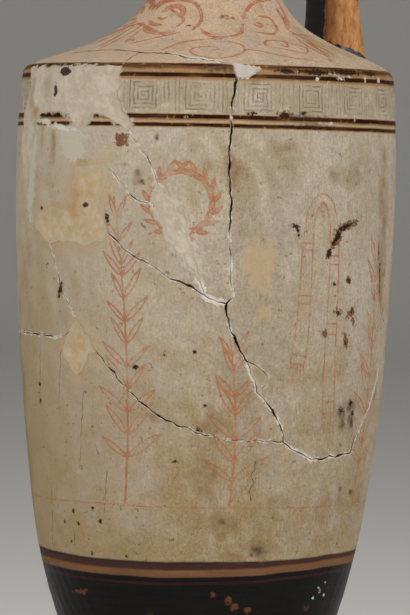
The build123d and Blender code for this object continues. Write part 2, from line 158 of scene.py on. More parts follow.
@dataclass(frozen=True)
class WallOutline:
    """The thrown wall's section, from the foot joint over the arris to the neck joint.

    Each run is a cubic Bezier of (radius, height) control points, outside and inside. The shoulder was
    set a little off the body's axis: neck_offset says how far, towards neck_azimuth, and lean_height
    how far above the arris all of it is reached.
    """

    outer_runs: tuple = (
        ((18, 21), (36, 31), (47.96, 68), (53, 92)),
        ((53, 92), (58.67, 119), (66, 202), (61.2, 247)),
        ((61.2, 247), (54.1, 252.8), (23.3, 256.5), (20.5, 277)),
    )
    inner_runs: tuple = (
        ((12, 30), (30, 37), (42.96, 68), (48, 92)),
        ((48, 92), (53.67, 119), (61, 202), (56.2, 242)),
        ((56.2, 242), (49.1, 247.8), (18.3, 251.5), (15.5, 277)),
    )
    foot_height: float = 21.0
    arris_height: float = 247.0
    neck_height: float = 277.0
    arris_round: float = 2.0
    reference_radius: float = 62.0
    neck_offset: float = 1.97
    neck_azimuth: float = 144.0
    lean_height: float = 6.0

    @cached_property
    def table(self) -> dict[str, Array]:
        """Samples of the section.

        Returns:
            Arc length, outer and inner face, outward normal and the unrounded height, by name.
        """
        share = np.linspace(0, 1, 500)[:, None]
        outer, inner = (np.vstack([cubic(run, share)[i > 0 :] for i, run in enumerate(runs)])
                        for runs in (self.outer_runs, self.inner_runs))
        along = run_along(outer)
        corner = int(np.argmin(np.abs(outer[:, 1] - self.arris_height)))
        along -= along[corner]
        height = outer[:, 1].copy()
        near = np.abs(along) < self.arris_round
        turn = ((along[near] + self.arris_round) / (2 * self.arris_round))[:, None]
        start, end = ([np.interp(at, along, outer[:, k]) for k in (0, 1)]
                      for at in (-self.arris_round, self.arris_round))
        outer[near] = (1 - turn) ** 2 * start + 2 * turn * (1 - turn) * outer[corner] + turn**2 * end
        normal = unit(np.gradient(outer, along, axis=0)[:, ::-1] * [1, -1])
        return {"along": along, "outer": outer, "inner": inner, "normal": normal, "height": height}

    def along_at(self, level: float) -> float:
        """The arc length at a level: up to 1 a share of the body's height, then of the shoulder's.

        Args:
            level: 0 at the foot joint, 1 at the arris, 2 at the neck joint.

        Returns:
            The arc length.
        """
        low, high = self.foot_height, self.arris_height
        if level > 1:
            low, high, level = self.arris_height, self.neck_height, level - 1
        return float(np.interp(low + (high - low) * level, self.table["height"], self.table["along"]))

    def read(self, key: str, along: Array) -> Array:
        """The (radius, height) pair of a table at each arc length."""
        rows = self.table[key]
        return np.stack([np.interp(along, self.table["along"], rows[:, k]) for k in (0, 1)], -1)

    def face(self, key: str, plan: Array, proud: Array | float = 0.0) -> Array:
        """Places on the wall as points in space.

        A point is the section's (radius, height), moved along its normal, turned to its azimuth.

        Args:
            key: outer or inner.
            plan: rows of (azimuth times the reference radius, along).
            proud: how far each point stands out of the face.

        Returns:
            One (x, y, z) row for each place.
        """
        pair = self.read(key, plan[:, 1]) + self.read("normal", plan[:, 1]) * np.reshape(proud, (-1, 1))
        turn = plan[:, 0] / self.reference_radius
        flat = np.stack([pair[:, 0] * np.sin(turn), -pair[:, 0] * np.cos(turn), pair[:, 1]], -1)
        return flat + self.drift(pair[:, 1])

    def drift(self, height: Array) -> Array:
        """The sideways shift at each height, eased in above the arris.

        Args:
            height: heights above the standing ring.

        Returns:
            One (x, y, z) row for each height.
        """
        turn = math.radians(self.neck_azimuth)
        way = np.array([math.sin(turn), -math.cos(turn), 0.0]) * self.neck_offset
        return ease(0, self.lean_height, np.asarray(height) - self.arris_height)[:, None] * way


class Tone(Enum):
    """What the restorer left along a break."""

    BARE = "bare"
    WHITE = "white filler"
    PALE = "pale plaster"
    OCHRE = "ochre plaster"


COATS = (Tone.WHITE, Tone.PALE, Tone.OCHRE)


@dataclass(frozen=True)
class Break:
    """One crack or joint: its way over the wall as (azimuth, level) points, and its wear.

    gap is its width and spread how far filler of its tone covers the wall beside it, both in even
    steps along it; sway is the unevenness of its line, which fades out at both ends.
    """

    points: tuple[tuple[float, float], ...]
    gap: tuple[float, ...] = (0.2,)
    spread: tuple[float, ...] = (0.2,)
    sway: float = 0.28
    tone: Tone = Tone.WHITE
    fade: float = 2.5

    def path(self, outline: WallOutline, seed: int, step: float = 0.6) -> Array:
        """The line in even steps, swaying by sines.

        Args:
            outline: the wall that it runs over.
            seed: picks the sway.
            step: the length of a step.

        Returns:
            Rows of (azimuth times the reference radius, along).
        """
        radius = outline.reference_radius
        corners = [(math.radians(turn) * radius, outline.along_at(level)) for turn, level in self.points]
        even, line = even_steps(np.array(corners), step)
        calm = np.minimum(1, np.minimum(even, even[-1] - even) / self.fade)
        bend = waves(even[:, None], 8.0, seed) * 0.7 + waves(even[:, None], 3.0, seed + 50) * 0.3
        return line + left_of(np.gradient(line, axis=0)) * (bend * calm * self.sway)[:, None]


# The edges of pale and of ochre fills, and all breaks; a break's number in this order picks its sway.
PALE = {"gap": (0.03,), "spread": (1.2,), "sway": 0.45, "tone": Tone.PALE}
OCHRE = {"gap": (0.03,), "spread": (2.0,), "sway": 0.45, "tone": Tone.OCHRE}
BREAKS: dict[str, Break] = {
    "vertical": Break(((62.6, 0.986), (61.4, 0.96), (61.0, 0.915), (60.6, 0.856), (61.6, 0.814),
        (61.2, 0.78), (61.5, 0.744), (62.5, 0.677), (60.8, 0.669)), (0.9, 0.75, 0.7, 0.75, 0.75, 0.75, 0.7,
        0.65, 0.55, 0.5, 0.6, 0.5, 0.08, 0.35, 0.06, 0.3, 0.06, 0.5),
        (0.2, 0.2, 0.14, 0.14, 0.14, 0.34, 0.36, 0.3)),
    "vertical_lower": Break(((60.8, 0.669), (60.9, 0.655), (62.8, 0.628), (65.4, 0.604), (67.7, 0.588)),
        (0.6, 0.55, 0.7, 0.8, 0.5, 0.4), (0.2,)),
    "lower_fill_right": Break(((67.7, 0.588), (71.2, 0.581), (74.9, 0.567), (72.9, 0.551), (74.4, 0.531)),
        (0.2, 0.24, 0.16, 0.08), (0.3,), 0.45, Tone.PALE),
    "lower_fill_left": Break(((67.7, 0.588), (69.5, 0.569), (71.6, 0.545), (74.4, 0.531)), (0.2,), (0.6,)),
    "vertical_foot": Break(((74.4, 0.531), (78.0, 0.511), (80.9, 0.486), (81.1, 0.474)),
        (0.4, 0.55, 0.4, 0.3), (0.6, 0.5, 0.3)),
    "low_arc": Break(((81.1, 0.474), (72.8, 0.476), (61.8, 0.477), (55.5, 0.483), (44.1, 0.501),
        (39.4, 0.513), (30.6, 0.544), (24.5, 0.575), (20.3, 0.595)), (0.24, 0.2, 0.16, 0.2, 0.24, 0.36,
        0.5, 0.4, 0.36, 0.24), (0.2, 0.16, 0.16, 0.1, 0.02)),
    "left_slant_low": Break(((20.3, 0.595), (15.5, 0.627), (12.4, 0.642)), **OCHRE),
    "left_slant_high": Break(((12.4, 0.642), (8.7, 0.666), (5.7, 0.685), (4.4, 0.706), (1.1, 0.747)),
        (0.1, 0.16, 0.3, 0.1, 0.08), (0.3,)),
    "girdle_near": Break(((12.4, 0.642), (9.7, 0.623)), **OCHRE),
    "girdle_left": Break(((9.7, 0.623), (6.0, 0.615), (1.6, 0.613), (-4.0, 0.616), (-16.4, 0.615),
        (-28.4, 0.617)), (0.14, 0.26, 0.3, 0.2, 0.2), (0.3,)),
    "girdle_back": Break(((-28.4, 0.617), (-45.0, 0.61), (-62.0, 0.622), (-80.0, 0.63), (-98.0, 0.618),
        (-116.0, 0.6), (-134.0, 0.606), (-152.0, 0.597), (-170.0, 0.58), (-188.0, 0.588), (-206.0, 0.592),
        (-220.0, 0.585), (-232.4, 0.575)), (0.2, 0.3, 0.16, 0.24, 0.18, 0.2), (0.35,)),
    "girdle_right": Break(((81.1, 0.474), (84.2, 0.464), (89.0, 0.456), (92.4, 0.448), (103.8, 0.452),
        (111.7, 0.455), (114.2, 0.482), (119.4, 0.508), (123.9, 0.537), (127.6, 0.575)), (0.24, 0.34, 0.55,
        0.45, 0.4, 0.24, 0.14, 0.16), (0.55,)),
    "small_fill": Break(((9.7, 0.623), (6.4, 0.603), (7.9, 0.579), (12.2, 0.561), (15.1, 0.57),
        (17.2, 0.591), (20.3, 0.595)), **OCHRE),
    "long_slant_right": Break(((60.8, 0.669), (56.0, 0.675), (54.5, 0.68)), (0.3, 0.2), (1.0,)),
    "long_slant_left": Break(((54.5, 0.68), (50.0, 0.693), (44.1, 0.703), (38.0, 0.722), (31.8, 0.735),
        (24.5, 0.765)), (0.3, 0.4, 0.24, 0.2, 0.34, 0.42, 0.4), (0.26,)),
    "short_slant": Break(((23.1, 0.862), (28.0, 0.839), (30.9, 0.822), (34.7, 0.81), (39.3, 0.802)),
        (0.08, 0.2, 0.22, 0.1), (0.3,)),
    "upper_slant": Break(((30.4, 0.908), (34.4, 0.884), (37.8, 0.864), (40.1, 0.834)),
        (0.1, 0.24, 0.26, 0.08), (0.35,)),
    "slanting_fill_left_high": Break(((40.1, 0.834), (38.8, 0.819), (39.3, 0.802)), **PALE),
    "slanting_fill_left_low": Break(((39.3, 0.802), (41.2, 0.783), (45.4, 0.748), (49.3, 0.725),
        (52.9, 0.7)), **PALE),
    "slanting_fill_right": Break(((40.1, 0.834), (45.3, 0.799), (48.9, 0.764), (51.3, 0.735), (52.9, 0.7)),
        **PALE),
    "slanting_fill_foot": Break(((52.9, 0.7), (54.5, 0.68)), (0.1,), (0.9,)),
    "ochre_fill_right": Break(((23.1, 0.862), (24.3, 0.841), (21.6, 0.817), (20.6, 0.803), (24.5, 0.765)),
        **OCHRE),
    "ochre_fill_left": Break(((23.1, 0.862), (17.8, 0.859), (12.1, 0.856), (11.0, 0.823), (9.5, 0.798),
        (2.1, 0.798), (-5.7, 0.789), (-6.9, 0.773), (-3.3, 0.757), (1.1, 0.747)), **OCHRE),
    "ochre_fill_foot": Break(((1.1, 0.747), (5.0, 0.748), (10.3, 0.752), (16.3, 0.745), (22.8, 0.754),
        (24.5, 0.765)), **OCHRE),
    "upper_fill_right": Break(((27.3, 1.0), (27.1, 0.974), (26.7, 0.955), (28.9, 0.937), (31.6, 0.918),
        (30.4, 0.908)), (0.03,), (0.25,), 0.3, Tone.PALE),
    "upper_fill_foot": Break(((30.4, 0.908), (26.4, 0.92), (22.2, 0.931), (17.9, 0.931), (15.5, 0.908),
        (12.4, 0.907), (9.2, 0.932), (0.7, 0.935), (-7.4, 0.929), (-9.8, 0.879), (-13.9, 0.826)), (0.03,),
        (0.4,), 0.25, Tone.PALE),
    "upper_fill_left": Break(((-13.9, 0.826), (-20.6, 0.879), (-18.4, 0.93), (-14.2, 0.966), (-16.4, 1.0)),
        (0.03,), (0.4,), 0.5, Tone.PALE),
    "shoulder_crack": Break(((27.3, 1.0), (26.5, 1.15), (36.4, 1.145), (48.0, 1.085), (56.0, 1.06)),
        (0.3, 0.5, 0.8, 0.9, 0.8, 0.6, 0.3), (0.02, 0.02, 0.02, 0.2, 0.7, 1.2, 1.2)),
    "wedge_fill_top": Break(((56.0, 1.06), (63.1, 1.03), (70.1, 1.0)), (0.03,), (0.2,), 0.3),
    "wedge_fill_left": Break(((56.0, 1.06), (61.6, 1.012), (62.6, 0.986)), (0.03,), (0.2,), 0.3),
    "wedge_fill_right": Break(((62.6, 0.986), (65.5, 0.985), (70.1, 1.0)), (0.03,), (0.15,), 0.3),
    "arris_back": Break(((70.1, 1.0), (343.6, 1.0)), (0.05,), (0.1,), 0.1, Tone.BARE),
    "arris_front": Break(((-16.4, 1.0), (27.3, 1.0)), (0.03,), (0.3,), 0.3, Tone.PALE),
}


def lay_out(outline: WallOutline, names: tuple[str, ...]) -> tuple[Array, Array, Array]:
    """Joins breaks end to end into one line, with the gap and the coats of filler at each point.

    Args:
        outline: the wall.
        names: break names in order, with a leading minus where one is followed backwards.

    Returns:
        The line's points without its last, the gap at each, and how far each coat spreads there.
    """
    order = list(BREAKS)
    lines, gaps, coats = [], [], []
    turn = 2 * math.pi * outline.reference_radius
    for name in names:
        key = name.lstrip("-")
        one = BREAKS[key]
        line = one.path(outline, order.index(key))
        even = np.linspace(0, 1, len(line))
        gap, spread = (np.interp(even, np.linspace(0, 1, len(row)), row) for row in (one.gap, one.spread))
        if name.startswith("-"):
            line, gap, spread = line[::-1], gap[::-1], spread[::-1]
        if lines:
            line = line + [turn * round((last[0] - line[0, 0]) / turn), 0]
        last = line[-1]
        lines.append(line[:-1])
        gaps.append(gap[:-1])
        coats.append(np.stack([spread[:-1] * (one.tone is tone) for tone in COATS], -1))
    return np.vstack(lines), np.concatenate(gaps), np.vstack(coats)


class Patch(Enum):
    """What a piece of the mended wall is made of."""

    SHERD = "white_ground"
    PALE = "pale_plaster"
    OCHRE = "ochre_plaster"
    WHITE = "white_plaster"
    TONED = "toned_plaster"


@dataclass
class Loop:
    """A closed outline in the unrolled plane.

    For a piece that goes right round, twins pairs the points of its two seam sides, and base is the
    run of points that carries the vessel's floor.
    """

    points: Array
    gap: Array
    coats: Array
    worn: Array
    twins: list[tuple[int, int]] = field(default_factory=list)
    base: slice | None = None

    def own(self) -> Array:
        """The outline points' own values.

        Returns:
            One row for each point, in the order that scan gives them.
        """
        reach = np.where(self.coats > 0, self.coats, -REACH)
        depth = np.clip(self.gap / OPEN_GAP, 0, 1) * self.worn
        return np.column_stack([np.where(self.worn, 0.0, REACH), depth, reach])

    def scan(self, columns: Array, row: float, rub: float = 0.4) -> tuple[Array, Array, Array]:
        """Tests one row of grid points against the outline.

        A point is inside where the row crosses the outline an odd number of times on its left.

        Args:
            columns: the row's points across.
            row: the row's place along.
            rub: how far in an edge is rubbed.

        Returns:
            Whether each is inside, its distance to the outline, and its values: distance to the worn
            breaks, depth of their rubbed edge, and how far inside each coat of filler it lies.
        """
        start, end = self.points, np.roll(self.points, -1, 0)
        way = end - start
        low, high = np.minimum(start[:, 1], end[:, 1]), np.maximum(start[:, 1], end[:, 1])
        cut = (low <= row) & (high > row)
        crossings = np.sort(start[cut, 0] + (row - start[cut, 1]) * way[cut, 0] / way[cut, 1])
        inside = np.searchsorted(crossings, columns) % 2 == 1
        near = np.flatnonzero((low < row + REACH) & (high > row - REACH))
        if not len(near):
            values = np.tile([REACH, 0.0, -REACH, -REACH, -REACH], (len(columns), 1))
            return inside, np.full(len(columns), REACH), values
        offset = np.stack(np.broadcast_arrays(columns[:, None] - start[near, 0], row - start[near, 1]), -1)
        length = np.maximum((way[near] ** 2).sum(1), TINY)
        share = np.clip((offset * way[near]).sum(2) / length, 0, 1)
        distance = np.linalg.norm(offset - share[..., None] * way[near], axis=2)
        own = self.own()[near]
        worn = np.where(self.worn[near], distance, REACH).min(1)
        depth = (own[:, 1] * np.exp(-distance / rub)).max(1)
        coats = [np.where(own[:, k] > 0, own[:, k] - distance, -REACH).max(1) for k in (2, 3, 4)]
        values = np.column_stack([np.minimum(worn, REACH), depth, *np.maximum(coats, -REACH)])
        return inside, np.minimum(distance.min(1), REACH), values


@dataclass
class Skin:
    """A triangulated piece of the unrolled wall; the outline's points come first."""

    plan: Array
    faces: Array
    values: Array


def fill_loop(loop: Loop, columns: Array, rows: Array, clear: float, near: Array) -> Skin:
    """Covers an outline with triangles: its own points and the grid points inside it.

    Args:
        loop: the closed outline, anticlockwise.
        columns: the grid's lines across.
        rows: the grid's lines along.
        clear: how far from the outline a grid point has to be.
        near: which columns are used in every row and not only in every third.

    Returns:
        The triangulation with every point's values.
    """
    plan, values = [loop.points], [loop.own()]
    for i, row in enumerate(rows):
        across = columns if i % 3 == 0 else columns[near]
        inside, distance, found = loop.scan(across, float(row))
        keep = inside & (distance > clear)
        plan.append(np.stack([across[keep], np.full(keep.sum(), row)], -1))
        values.append(found[keep])
    points = np.vstack(plan)
    verts, _, faces, *_ = delaunay_2d_cdt(points.tolist(), [], [list(range(len(loop.points)))], 1, 1e-6)
    if len(verts) != len(points):
        raise ValueError(f"the outline crosses itself: {len(points)} points became {len(verts)}")
    faces = np.array(faces)
    one, two, three = (points[faces[:, k]] for k in range(3))
    turn = np.cross(two - one, three - one)
    faces[turn < 0] = faces[turn < 0][:, ::-1]
    merge = np.arange(len(points))
    for old, new in loop.twins:
        merge[old] = new
    return Skin(points, merge[faces], np.vstack(values))


@dataclass
class Stroke:
    """One brush line: points in space and the half-width at each."""

    points: Array
    half: Array


def near_strokes(points: Array, strokes: list[Stroke], reach: float) -> Iterator[tuple]:
    """Finds the points round each brush line.

    Args:
        points: places in space.
        strokes: the brush lines.
        reach: how far away a point still counts.

    Yields:
        The line, the numbers of the points near it, and for each of them and each step of the line
        the offset from its start, the share of it that is passed, and the distance.
    """
    for stroke in strokes:
        low, high = stroke.points.min(0) - reach, stroke.points.max(0) + reach
        near = np.flatnonzero(((points > low) & (points < high)).all(1))
        if len(near):
            way = np.diff(stroke.points, axis=0)
            offset = points[near, None] - stroke.points[:-1]
            share = np.clip((offset * way).sum(2) / np.maximum((way**2).sum(1), TINY), 0, 1)
            yield stroke, near, offset, share, np.linalg.norm(offset - share[..., None] * way, axis=2)


def stroke_field(points: Array, strokes: list[Stroke], reach: float = 2.5) -> Array:
    """How far inside a brush line each point lies.

    It is the line's half-width less the distance to its centre, and the largest over all lines.

    Args:
        points: places in space.
        strokes: the brush lines.
        reach: how far outside it stops counting.

    Returns:
        Millimetres, positive inside a line.
    """
    result = np.full(len(points), -reach)
    for stroke, near, _, share, distance in near_strokes(points, strokes, reach):
        half = stroke.half[:-1] + share * np.diff(stroke.half)
        result[near] = np.maximum(result[near], (half - distance).max(1))
    return result


def hair_field(points: Array, strokes: list[Stroke], reach: float = 1.2) -> tuple[Array, Array]:
    """Where hairlines run: which side of the nearest one each point lies on, and how near it is.

    The side is told by the triple product of the line's way, the offset and a rough outward direction.

    Args:
        points: places in space.
        strokes: the hairlines.
        reach: how far away they count.

    Returns:
        The distance over the line's weight, negative on one side, and the reach less the distance.
    """
    side, near_by = np.full(len(points), reach), np.full(len(points), -reach)
    for stroke, near, offset, _, distance in near_strokes(points, strokes, reach):
        best = distance.argmin(1)
        each = np.arange(len(near))
        far = distance[each, best]
        outward = points[near] * [1, 1, 0] + [0, 0, 40]
        turn = (np.cross(np.diff(stroke.points, axis=0)[best], offset[each, best]) * outward).sum(1)
        closer = reach - far > near_by[near]
        side[near[closer]] = (np.sign(turn) * far / stroke.half[0])[closer]
        near_by[near[closer]] = (reach - far)[closer]
    return side, near_by


class Weight(Enum):
    """How full the brush was: the half-width of its line in millimetres."""

    FINE = 0.38
    PLAIN = 0.58
    FULL = 0.95


# Brush lines of the shoulder's right half, each as (azimuth, along) points.
SCROLLS: dict[Weight, tuple[tuple[tuple[float, float], ...], ...]] = {
    Weight.FINE: (
        ((44.5, 34.5), (43, 32.5), (40.5, 31.5)),
        ((15.5, 18.5), (21.5, 22.5), (29, 26), (35.5, 28.5)),
        ((46.5, 30.5), (49, 28.5), (53.5, 27)),
        ((53.5, 13.5), (55.5, 14.5), (54, 16.5), (49, 16.5), (45.5, 14.5), (45.5, 11), (49.5, 7.5),
         (54, 6), (58, 6.5), (62.5, 9.5), (65.5, 14.5), (65, 19.5), (60, 22)),
        ((65.5, 15), (70.5, 14), (77.5, 10), (85, 8), (94, 6)),
        ((83.5, 20.5), (86, 19.5), (88.5, 21.5), (88.5, 23.5), (83.5, 24.5), (78.5, 23.5), (76.5, 21),
         (77, 18.5), (81.5, 17.5), (85.5, 16), (91, 14), (96, 18), (96.5, 20.5), (91, 23), (86, 24.5)),
        ((109.5, 28), (118, 23), (128.5, 16.5), (130, 12)),
    ),
    Weight.PLAIN: (
        ((4.5, 41), (9, 44), (18, 45), (29, 45), (37, 44), (42.5, 41), (45, 37), (44, 33), (41.5, 30)),
        ((12.5, 37), (17.5, 36.5), (20, 37.5)),
        ((-14, 45.5), (-3.5, 44), (0, 41)),
        ((7, 45.5), (4, 43.5), (4.5, 41.5)),
        ((2.5, 15.5), (2, 22), (3.5, 28), (3.5, 34)),
        ((-28.5, 26), (-17, 30), (-7, 33), (4, 34.5)),
        ((-31.5, 32), (-32.5, 37), (-18, 41.5)),
        ((9.5, 25), (9, 28), (8, 30.5)),
        ((34, 13), (37, 18), (41.5, 21), (48.5, 23)),
        ((46, 31), (49, 27.5), (53.5, 25.5), (59, 25.5), (65.5, 27.5), (69, 30.5), (71, 34.5)),
        ((72.5, 37), (75.5, 40), (82, 43.5), (91.5, 45.5), (108, 46.5)),
        ((81, 35.5), (84, 35), (82, 33.5), (78.5, 34.5)),
        ((85.5, 39), (93.5, 38.5), (95, 35.5), (92, 31.5), (85.5, 29), (77, 30)),
        ((102, 32), (106.5, 30), (118.5, 29.5)),
        ((101, 27.5), (99.5, 18.5), (100, 7)),
        ((102, 30), (108, 26), (101.5, 15.5)),
        ((107, 24), (108, 20.5), (107.5, 14.5)),
    ),
    Weight.FULL: (
        ((13, 40), (17.5, 42), (23.5, 42.5), (29, 41.5), (30.5, 39.5), (29.5, 37.5)),
        ((7.5, 35.5), (13.5, 33.5), (20, 33)),
        ((8.5, 32), (15, 29), (22, 27.5), (27, 27.5), (31.5, 29)),
        ((10.5, 21), (11, 23.5), (14.5, 22)),
        ((52.5, 24), (57, 24)),
        ((110.5, 43), (109.5, 40), (107.5, 36.5), (102.5, 33)),
        ((59, 37.5), (61, 38), (63, 37)),
        ((105, 25), (103.5, 18), (98, 7)),
        ((119, 46.5), (117.5, 41.5), (105.5, 34)),
    ),
}


# Weight and (azimuth, along) points of each hairline.
HAIRLINES: tuple[tuple[float, tuple[tuple[float, float], ...]], ...] = (
    (1.0, ((5.4, -91.2), (4.4, -98.7), (3.3, -107.5))),
    (1.0, ((14.4, -104.7), (12.6, -120.3), (11.7, -129.1))),
    (1.0, ((-6.3, -90.5), (-7.2, -99.3), (-8.8, -109.2))),
    (1.0, ((18.4, -121.6), (19.8, -124.8))),
    (1.0, ((-4.5, -137.8), (-6.1, -147.8), (-8.6, -155.8))),
    (1.0, ((22.6, -130.1), (21.0, -143.2))),
    (1.0, ((6.7, -149.1), (6.1, -156.5))),
    (1.3, ((71.9, -125.5), (72.0, -128.0), (70.5, -129.7), (72.0, -132.1), (70.4, -134.5), (71.3, -137.8))),
    (4.0, ((-8.0, 11.0), (1.8, 12.3), (6.4, 13.2), (13.5, 13.1), (22.4, 12.0), (26.9, 10.9))),
    (1.0, ((84.9, -108.4), (85.2, -111.6))),
)


@dataclass
class Brushwork:
    """The painted ornament: brush lines laid on the wall, and the hairlines that cross it.

    drawing_line is the half-width of a drawn line, and leaf_fat how far each side of a leaf swings out,
    as a share of its length. The picture stands on a line at ground_along.
    """

    outline: WallOutline
    drawing_line: float = 0.27
    leaf_fat: float = 0.16
    brush_step: float = 0.5
    hair_step: float = 0.7
    ground_along: float = -140.5

    def on_wall(self, anchor: tuple[float, float], local: Array, half: float | Array) -> Stroke:
        """Lays a line drawn in flat millimetres round an anchor onto the wall.

        Args:
            anchor: (azimuth, along) of the drawing's zero.
            local: rows of (right, up) millimetres.
            half: the half-width, one or for each point.

        Returns:
            The line in space.
        """
        even, flat = even_steps(local, self.brush_step)
        width = np.interp(even, run_along(local), np.broadcast_to(half, len(local)).astype(float))
        along = anchor[1] + flat[:, 1]
        radius = self.outline.read("outer", along)[:, 0]
        turn = math.radians(anchor[0]) + flat[:, 0] / radius
        plan = np.stack([turn * self.outline.reference_radius, along], -1)
        return Stroke(self.outline.face("outer", plan), width)

    def scrolls(self) -> list[Stroke]:
        """Palmettes and volutes of the shoulder, the same on both sides of the picture's middle.

        The points of a line are joined by a Catmull-Rom curve; the brush lifts off at both ends.

        Returns:
            The brush lines.
        """
        strokes = []
        share = np.linspace(0, 1, 9)[:-1, None]
        for weight, places in ((weight, places) for weight, lines in SCROLLS.items() for places in lines):
            knots = np.array([places[0], *places, places[-1]], float)
            bits = []
            for before, start, end, after in zip(knots, knots[1:], knots[2:], knots[3:]):
                bend = (2 * before - 5 * start + 4 * end - after) * share**2
                bend = bend + (3 * start - before - 3 * end + after) * share**3
                bits.append(start + 0.5 * ((end - before) * share + bend))
            line = np.vstack([*bits, knots[-1:]])
            lift = np.minimum(np.arange(len(line)), np.arange(len(line))[::-1])
            half = weight.value * (0.5 + 0.5 * np.minimum(1, lift / 5))
            for side in (1, -1):
                turn = np.radians(line[:, 0]) * side * self.outline.reference_radius
                strokes.append(Stroke(self.outline.face("outer", np.stack([turn, line[:, 1]], -1)), half))
        return strokes

    def bow(self, *knots: tuple | Array) -> Array:
        """A Bezier curve in 28 points, by repeated interpolation along its polygon.

        Args:
            knots: two or more control points.

        Returns:
            Its points.
        """
        share = np.linspace(0, 1, 28)[:, None]
        level = [np.asarray(knot, float) for knot in knots]
        while len(level) > 1:
            level = [(1 - share) * one + share * two for one, two in zip(level, level[1:])]
        return level[0]

    def leaf(self, anchor: tuple, root: Array, lean: float, length: float) -> list[Stroke]:
        """A pointed leaf in outline: two bows from its root to its tip.

        Args:
            anchor: (azimuth, along) of the drawing's zero.
            root: where the leaf leaves the stem.
            lean: its turn from upright, in radians.
            length: from root to tip.

        Returns:
            The two brush lines.
        """
        tip = np.array([math.sin(lean), math.cos(lean)]) * length
        across = np.array([tip[1], -tip[0]]) * self.leaf_fat
        bows = [self.bow((0, 0), tip * 0.4 + across * edge, tip) for edge in (-1, 1)]
        return [self.on_wall(anchor, root + line, self.drawing_line) for line in bows]

    def sapling(self, anchor: tuple[float, float], tall: float, pairs: int) -> list[Stroke]:
        """A thin stem with pairs of leaves that shorten upwards.

        Args:
            anchor: (azimuth, along) of its foot.
            tall: its height.
            pairs: how many pairs of leaves.

        Returns:
            The brush lines.
        """
        stem = self.bow((0, 0), (tall * 0.05, tall * 0.5), (-tall * 0.03, tall))
        strokes = [self.on_wall(anchor, stem, np.linspace(1.6, 0.9, len(stem)) * self.drawing_line)]
        for i, share in enumerate(np.linspace(0.16, 0.96, pairs)):
            root = stem[int(share * (len(stem) - 1))]
            for side in (-1, 1):
                lean = math.radians(side * (52 - 24 * share) + 8 * math.sin(3.1 * i + side))
                length = (13.5 - 5 * share) * (1 + 0.14 * math.sin(5.3 * i + 2 * side))
                strokes += self.leaf(anchor, root, lean, length)
        return strokes

    def sash(self, anchor: tuple[float, float]) -> list[Stroke]:
        """A ribbon hung over a peg: two tails of unequal length with cross lines and a fringe.

        Args:
            anchor: (azimuth, along) of the peg.

        Returns:
            The brush lines.
        """
        line = self.drawing_line
        peg = np.radians(np.linspace(0, 360, 20))
        strokes = [self.on_wall(anchor, np.stack([1.3 * np.cos(peg), 1.3 * np.sin(peg)], -1), line)]
        for side, fall in ((-1, 50), (1, 66)):
            middle = self.bow((0, 3.2), (side * 9, 2), (side * 3.5, -fall * 0.5), (side * 7, -fall))
            out = left_of(np.gradient(middle, axis=0)) * np.linspace(1.3, 2.6, len(middle))[:, None]
            lines = [middle - out, middle + out]
            lines += [np.array([middle[i] - out[i], middle[i] + out[i]]) for i in (12, 13, 19, 20, 26, 27)]
            strokes += [self.on_wall(anchor, one, line) for one in lines]
            for thread in np.linspace(-0.9, 0.9, 5):
                start = middle[-1] + out[-1] * thread
                fringe = np.array([start, start + [thread * 0.8, -6.5]])
                strokes.append(self.on_wall(anchor, fringe, line * 0.8))
        return strokes

    def wreath(self, anchor: tuple[float, float], radius: float) -> list[Stroke]:
        """A ring with small filled leaves that point up from both sides.

        Args:
            anchor: (azimuth, along) of its centre.
            radius: the ring's radius.

        Returns:
            The brush lines.
        """
        turn = np.radians(np.linspace(0, 360, 60))
        ring = np.stack([radius * np.cos(turn), radius * np.sin(turn)], -1)
        strokes = [self.on_wall(anchor, ring, self.drawing_line)]
        half = np.array([0.2, 0.75, 0.8, 0.55, 0.15])
        for angle in np.radians(np.linspace(-84, 84, 9)):
            for side in (-1, 1):
                root = np.array([side * math.cos(angle), math.sin(angle)]) * radius
                for out in (-0.55, 0.55):
                    way = np.array([-side * math.sin(angle), math.cos(angle)]) * 3.9
                    way = way + root / radius * out * 4.2
                    strokes.append(self.on_wall(anchor, root + np.linspace(0, 1, 5)[:, None] * way, half))
        return strokes

    def hairlines(self) -> list[Stroke]:
        """Fine cracks that part no sherds, a little crooked.

        Returns:
            Lines whose half-width is the crack's weight.
        """
        strokes = []
        radius = self.outline.reference_radius
        for i, (weight, places) in enumerate(HAIRLINES):
            start = np.array([math.radians(places[0][0]) * radius, places[0][1]])
            flat = np.array(places) * [math.radians(1) * radius, 1] - start
            even, line = even_steps(flat, self.hair_step, 2)
            line[:, 0] += 0.14 * waves(even[:, None], 4.0, 70 + i)
            strokes.append(Stroke(self.outline.face("outer", line + start), np.full(len(line), weight)))
        return strokes

    def picture(self) -> list[Stroke]:
        """Plain motifs of the picture side in thin outline, standing on a ground line.

        Returns:
            The brush lines.
        """
        foot = self.ground_along + 1
        strokes = self.wreath((47, -43), 10.5) + self.sash((91, -44))
        for azimuth, tall, pairs in ((29, 98, 12), (64, 52, 7), (118, 84, 10)):
            strokes += self.sapling((azimuth, foot), tall, pairs)
        for i in range(25):
            ground = np.array([(0, 0), (4, 0.14 * math.sin(i)), (8.8, 0)])
            strokes.append(self.on_wall((-50 + 8 * i, self.ground_along), ground, self.drawing_line))
        return strokes


class Kind(Enum):
    """What a mark on the wall is, by the attribute that carries it."""

    DARK = "dark_mm"
    CLAY = "clay_mm"
    WHITE = "white_mm"
    PALE = "pale_mm"
    OCHRE = "ochre_mm"
    STAIN_AND_SHADE = "stain_and_shade"
    SMUDGE = "smudge"
    RUST = "rust_mm"
    TONE = "tone"
    FILM = "film"


